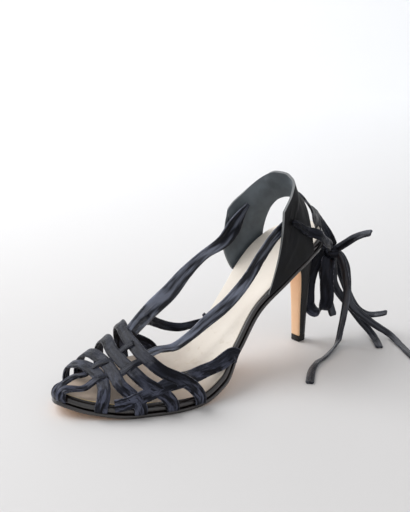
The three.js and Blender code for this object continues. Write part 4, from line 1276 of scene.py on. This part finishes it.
# %% Collar, sole and heel
plain_finish("collar leather", 14, ((8, 8, 9), (17, 18, 22)), (0.5, 0.2), 0.6, 0.06,
             waves=(11, 0.6), Specular_IOR_Level=0.28)
plain_finish("collar lining", 16, ((80, 87, 92), (104, 112, 118)), (0.55, 0.15), 0.45, 0.05)
plain_finish("cut edge", 0.5, ((84, 86, 88), (136, 138, 138)), (0.7, 0), None, 0.1)
plain_finish("edge leather", 8, ((16, 12, 12), (34, 26, 25)), (0.25, 0.15), 0.6, 0.04,
             Coat_Weight=1, Coat_Roughness=0.08)
plain_finish("outsole leather", 10, ((249, 200, 156), (253, 216, 178)), (0.5, 0), 0.8, 0.04)
plain_finish("heel leather", 9, ((8, 8, 9), (18, 18, 20)), (0.38, 0.15), 0.55, 0.04)
plain_finish("tip rubber", 2, ((18, 17, 17), (34, 32, 31)), (0.7, 0), None, 0.05)


# %% The sock
def sock_finish():
    """Cream leather, stained towards the toes and painted a darker taupe there as the shade under
    the cage, with a dark margin and a gold line at the toe.
    """
    wire, shader, place = start_finish("sock leather")
    edge, along = carried(wire, "edge"), carried(wire, "along")
    clouds = speckle(wire, place, 12)
    cream = blend_colours(wire, colour_of(232, 221, 206), colour_of(243, 235, 223), clouds)
    shaded_taupe = blend_colours(wire, colour_of(168, 150, 134), colour_of(190, 172, 154), clouds)
    # Painted shade: the sock turns a darker taupe towards the toes, where the cage shades it.
    colour = cream.mix(shaded_taupe, (along + clouds * 26).step(100, 150))
    stain = speckle(wire, place, 5).step(0.55, 0.72) * along.step(70, 100)
    colour = colour.mix(colour_of(196, 178, 150), stain * 0.35)
    margin = along.step(126, 152) * 2.6
    inside = (edge - margin).step(-0.12, 0.12)
    gold = (inside - (edge - margin).step(0.7, 0.9)) * along.step(148, 160)
    colour = colour.mix(colour_of(26, 18, 16), 1 - inside).mix(colour_of(250, 214, 130), gold)
    wire.plug(shader.inputs["Base Color"], colour)
    wire.plug(shader.inputs["Roughness"], 0.35 + inside * 0.28)
    wire.plug(shader.inputs["Normal"], raised(wire, grain(wire, place, 0.7), 0.05))


sock_finish()
print("finishes:", sorted(m.name for m in bpy.data.materials))

# %% [markdown]
# ## Floor and light
# The shoe stands on a plain pale floor that bends up far behind it. Daylight comes from a large
# window behind the shoe on its toe side, and the white room fills the shadows. A lamp past the
# shoe, turned away from it, lights only the far floor.

# %% Floor and lights
AWAY = -towards(VIEW_TURN, 0)
SHOE_MIDDLE = (0.08, 0, 0.03)
FLOOR_REACH = 1600
FLOOR_BEND = 400
FLOOR_TOP = 1500
FLOOR_HALF_WIDTH = 3000
PALE_FROM = 1200
NEAR_COLOUR, FAR_COLOUR = colour_of(213, 211, 209), colour_of(253, 254, 255)


def add_floor():
    """A sheet that runs away from the view and bends up. It is painted paler with distance, a
    painted light standing in for the brighter far floor.
    """
    profile = [(-FLOOR_REACH, 0), (0, 0), (300, 0), (700, 0)]
    for k in range(9):
        turn = math.pi / 2 * k / 8
        profile.append((FLOOR_REACH - FLOOR_BEND + FLOOR_BEND * math.sin(turn),
                        FLOOR_BEND - FLOOR_BEND * math.cos(turn)))
    profile.append((FLOOR_REACH, FLOOR_TOP))
    aside = np.array([AWAY[1], -AWAY[0], 0]) * FLOOR_HALF_WIDTH
    points = [AWAY * run + aside * side + np.array([0, 0, z])
              for run, z in profile for side in (-1, 1)]
    faces = [(2 * k, 2 * k + 1, 2 * k + 3, 2 * k + 2) for k in range(len(profile) - 1)]
    mesh = bpy.data.meshes.new("floor")
    mesh.from_pydata([tuple(p * MM) for p in points], [], faces)
    mesh.polygons.foreach_set("use_smooth", [True] * len(faces))
    # Painted light: the floor's colour grows paler with distance, standing in for the brighter light
    # far off.
    pale = [min(max(run / PALE_FROM, 0), 1) for run, _ in profile for _ in (-1, 1)]
    mesh.attributes.new("far", "FLOAT", "POINT").data.foreach_set("value", pale)
    mesh.materials.append(material("pale floor"))
    floor = bpy.data.objects.new("floor", mesh)
    bpy.context.scene.collection.objects.link(floor)
    wire, shader, _ = start_finish("pale floor")
    colour = blend_colours(wire, NEAR_COLOUR, FAR_COLOUR, carried(wire, "far"))
    wire.plug(shader.inputs["Base Color"], colour)
    shader.inputs["Roughness"].default_value = 0.6


def add_window(name, place, aim, size, power, colour):
    """A rectangular lamp at a place in metres, turned towards another."""
    data = bpy.data.lights.new(name, "AREA")
    data.shape = "RECTANGLE"
    data.size, data.size_y = size
    data.energy = power
    data.color = colour
    light = bpy.data.objects.new(name, data)
    bpy.context.scene.collection.objects.link(light)
    light.location = place
    light.rotation_euler = (Vector(aim) - Vector(place)).to_track_quat("-Z", "Y").to_euler()


add_floor()
add_window("window", (0.55, -0.75, 0.95), SHOE_MIDDLE, (1.1, 1.1), 16, (0.97, 0.98, 1))
add_window("back light", tuple(AWAY * 0.8 + np.array([0, 0, 1.3])),
           tuple(AWAY * 1.6 + np.array([0, 0, 0.7])), (1.6, 0.4), 4, (1, 1, 1))
add_window("room", (0.6, 1.1, 0.9), SHOE_MIDDLE, (1.6, 1.6), 1.5, (1, 0.98, 0.96))
world = bpy.data.worlds.new("white room")
world.use_nodes = True
background = world.node_tree.nodes["Background"]
background.inputs["Color"].default_value = (0.97, 0.975, 1, 1)
background.inputs["Strength"].default_value = 0.56
bpy.context.scene.world = world
bpy.context.scene.view_settings.view_transform = "Standard"
print("lights:", [light.name for light in bpy.data.lights])
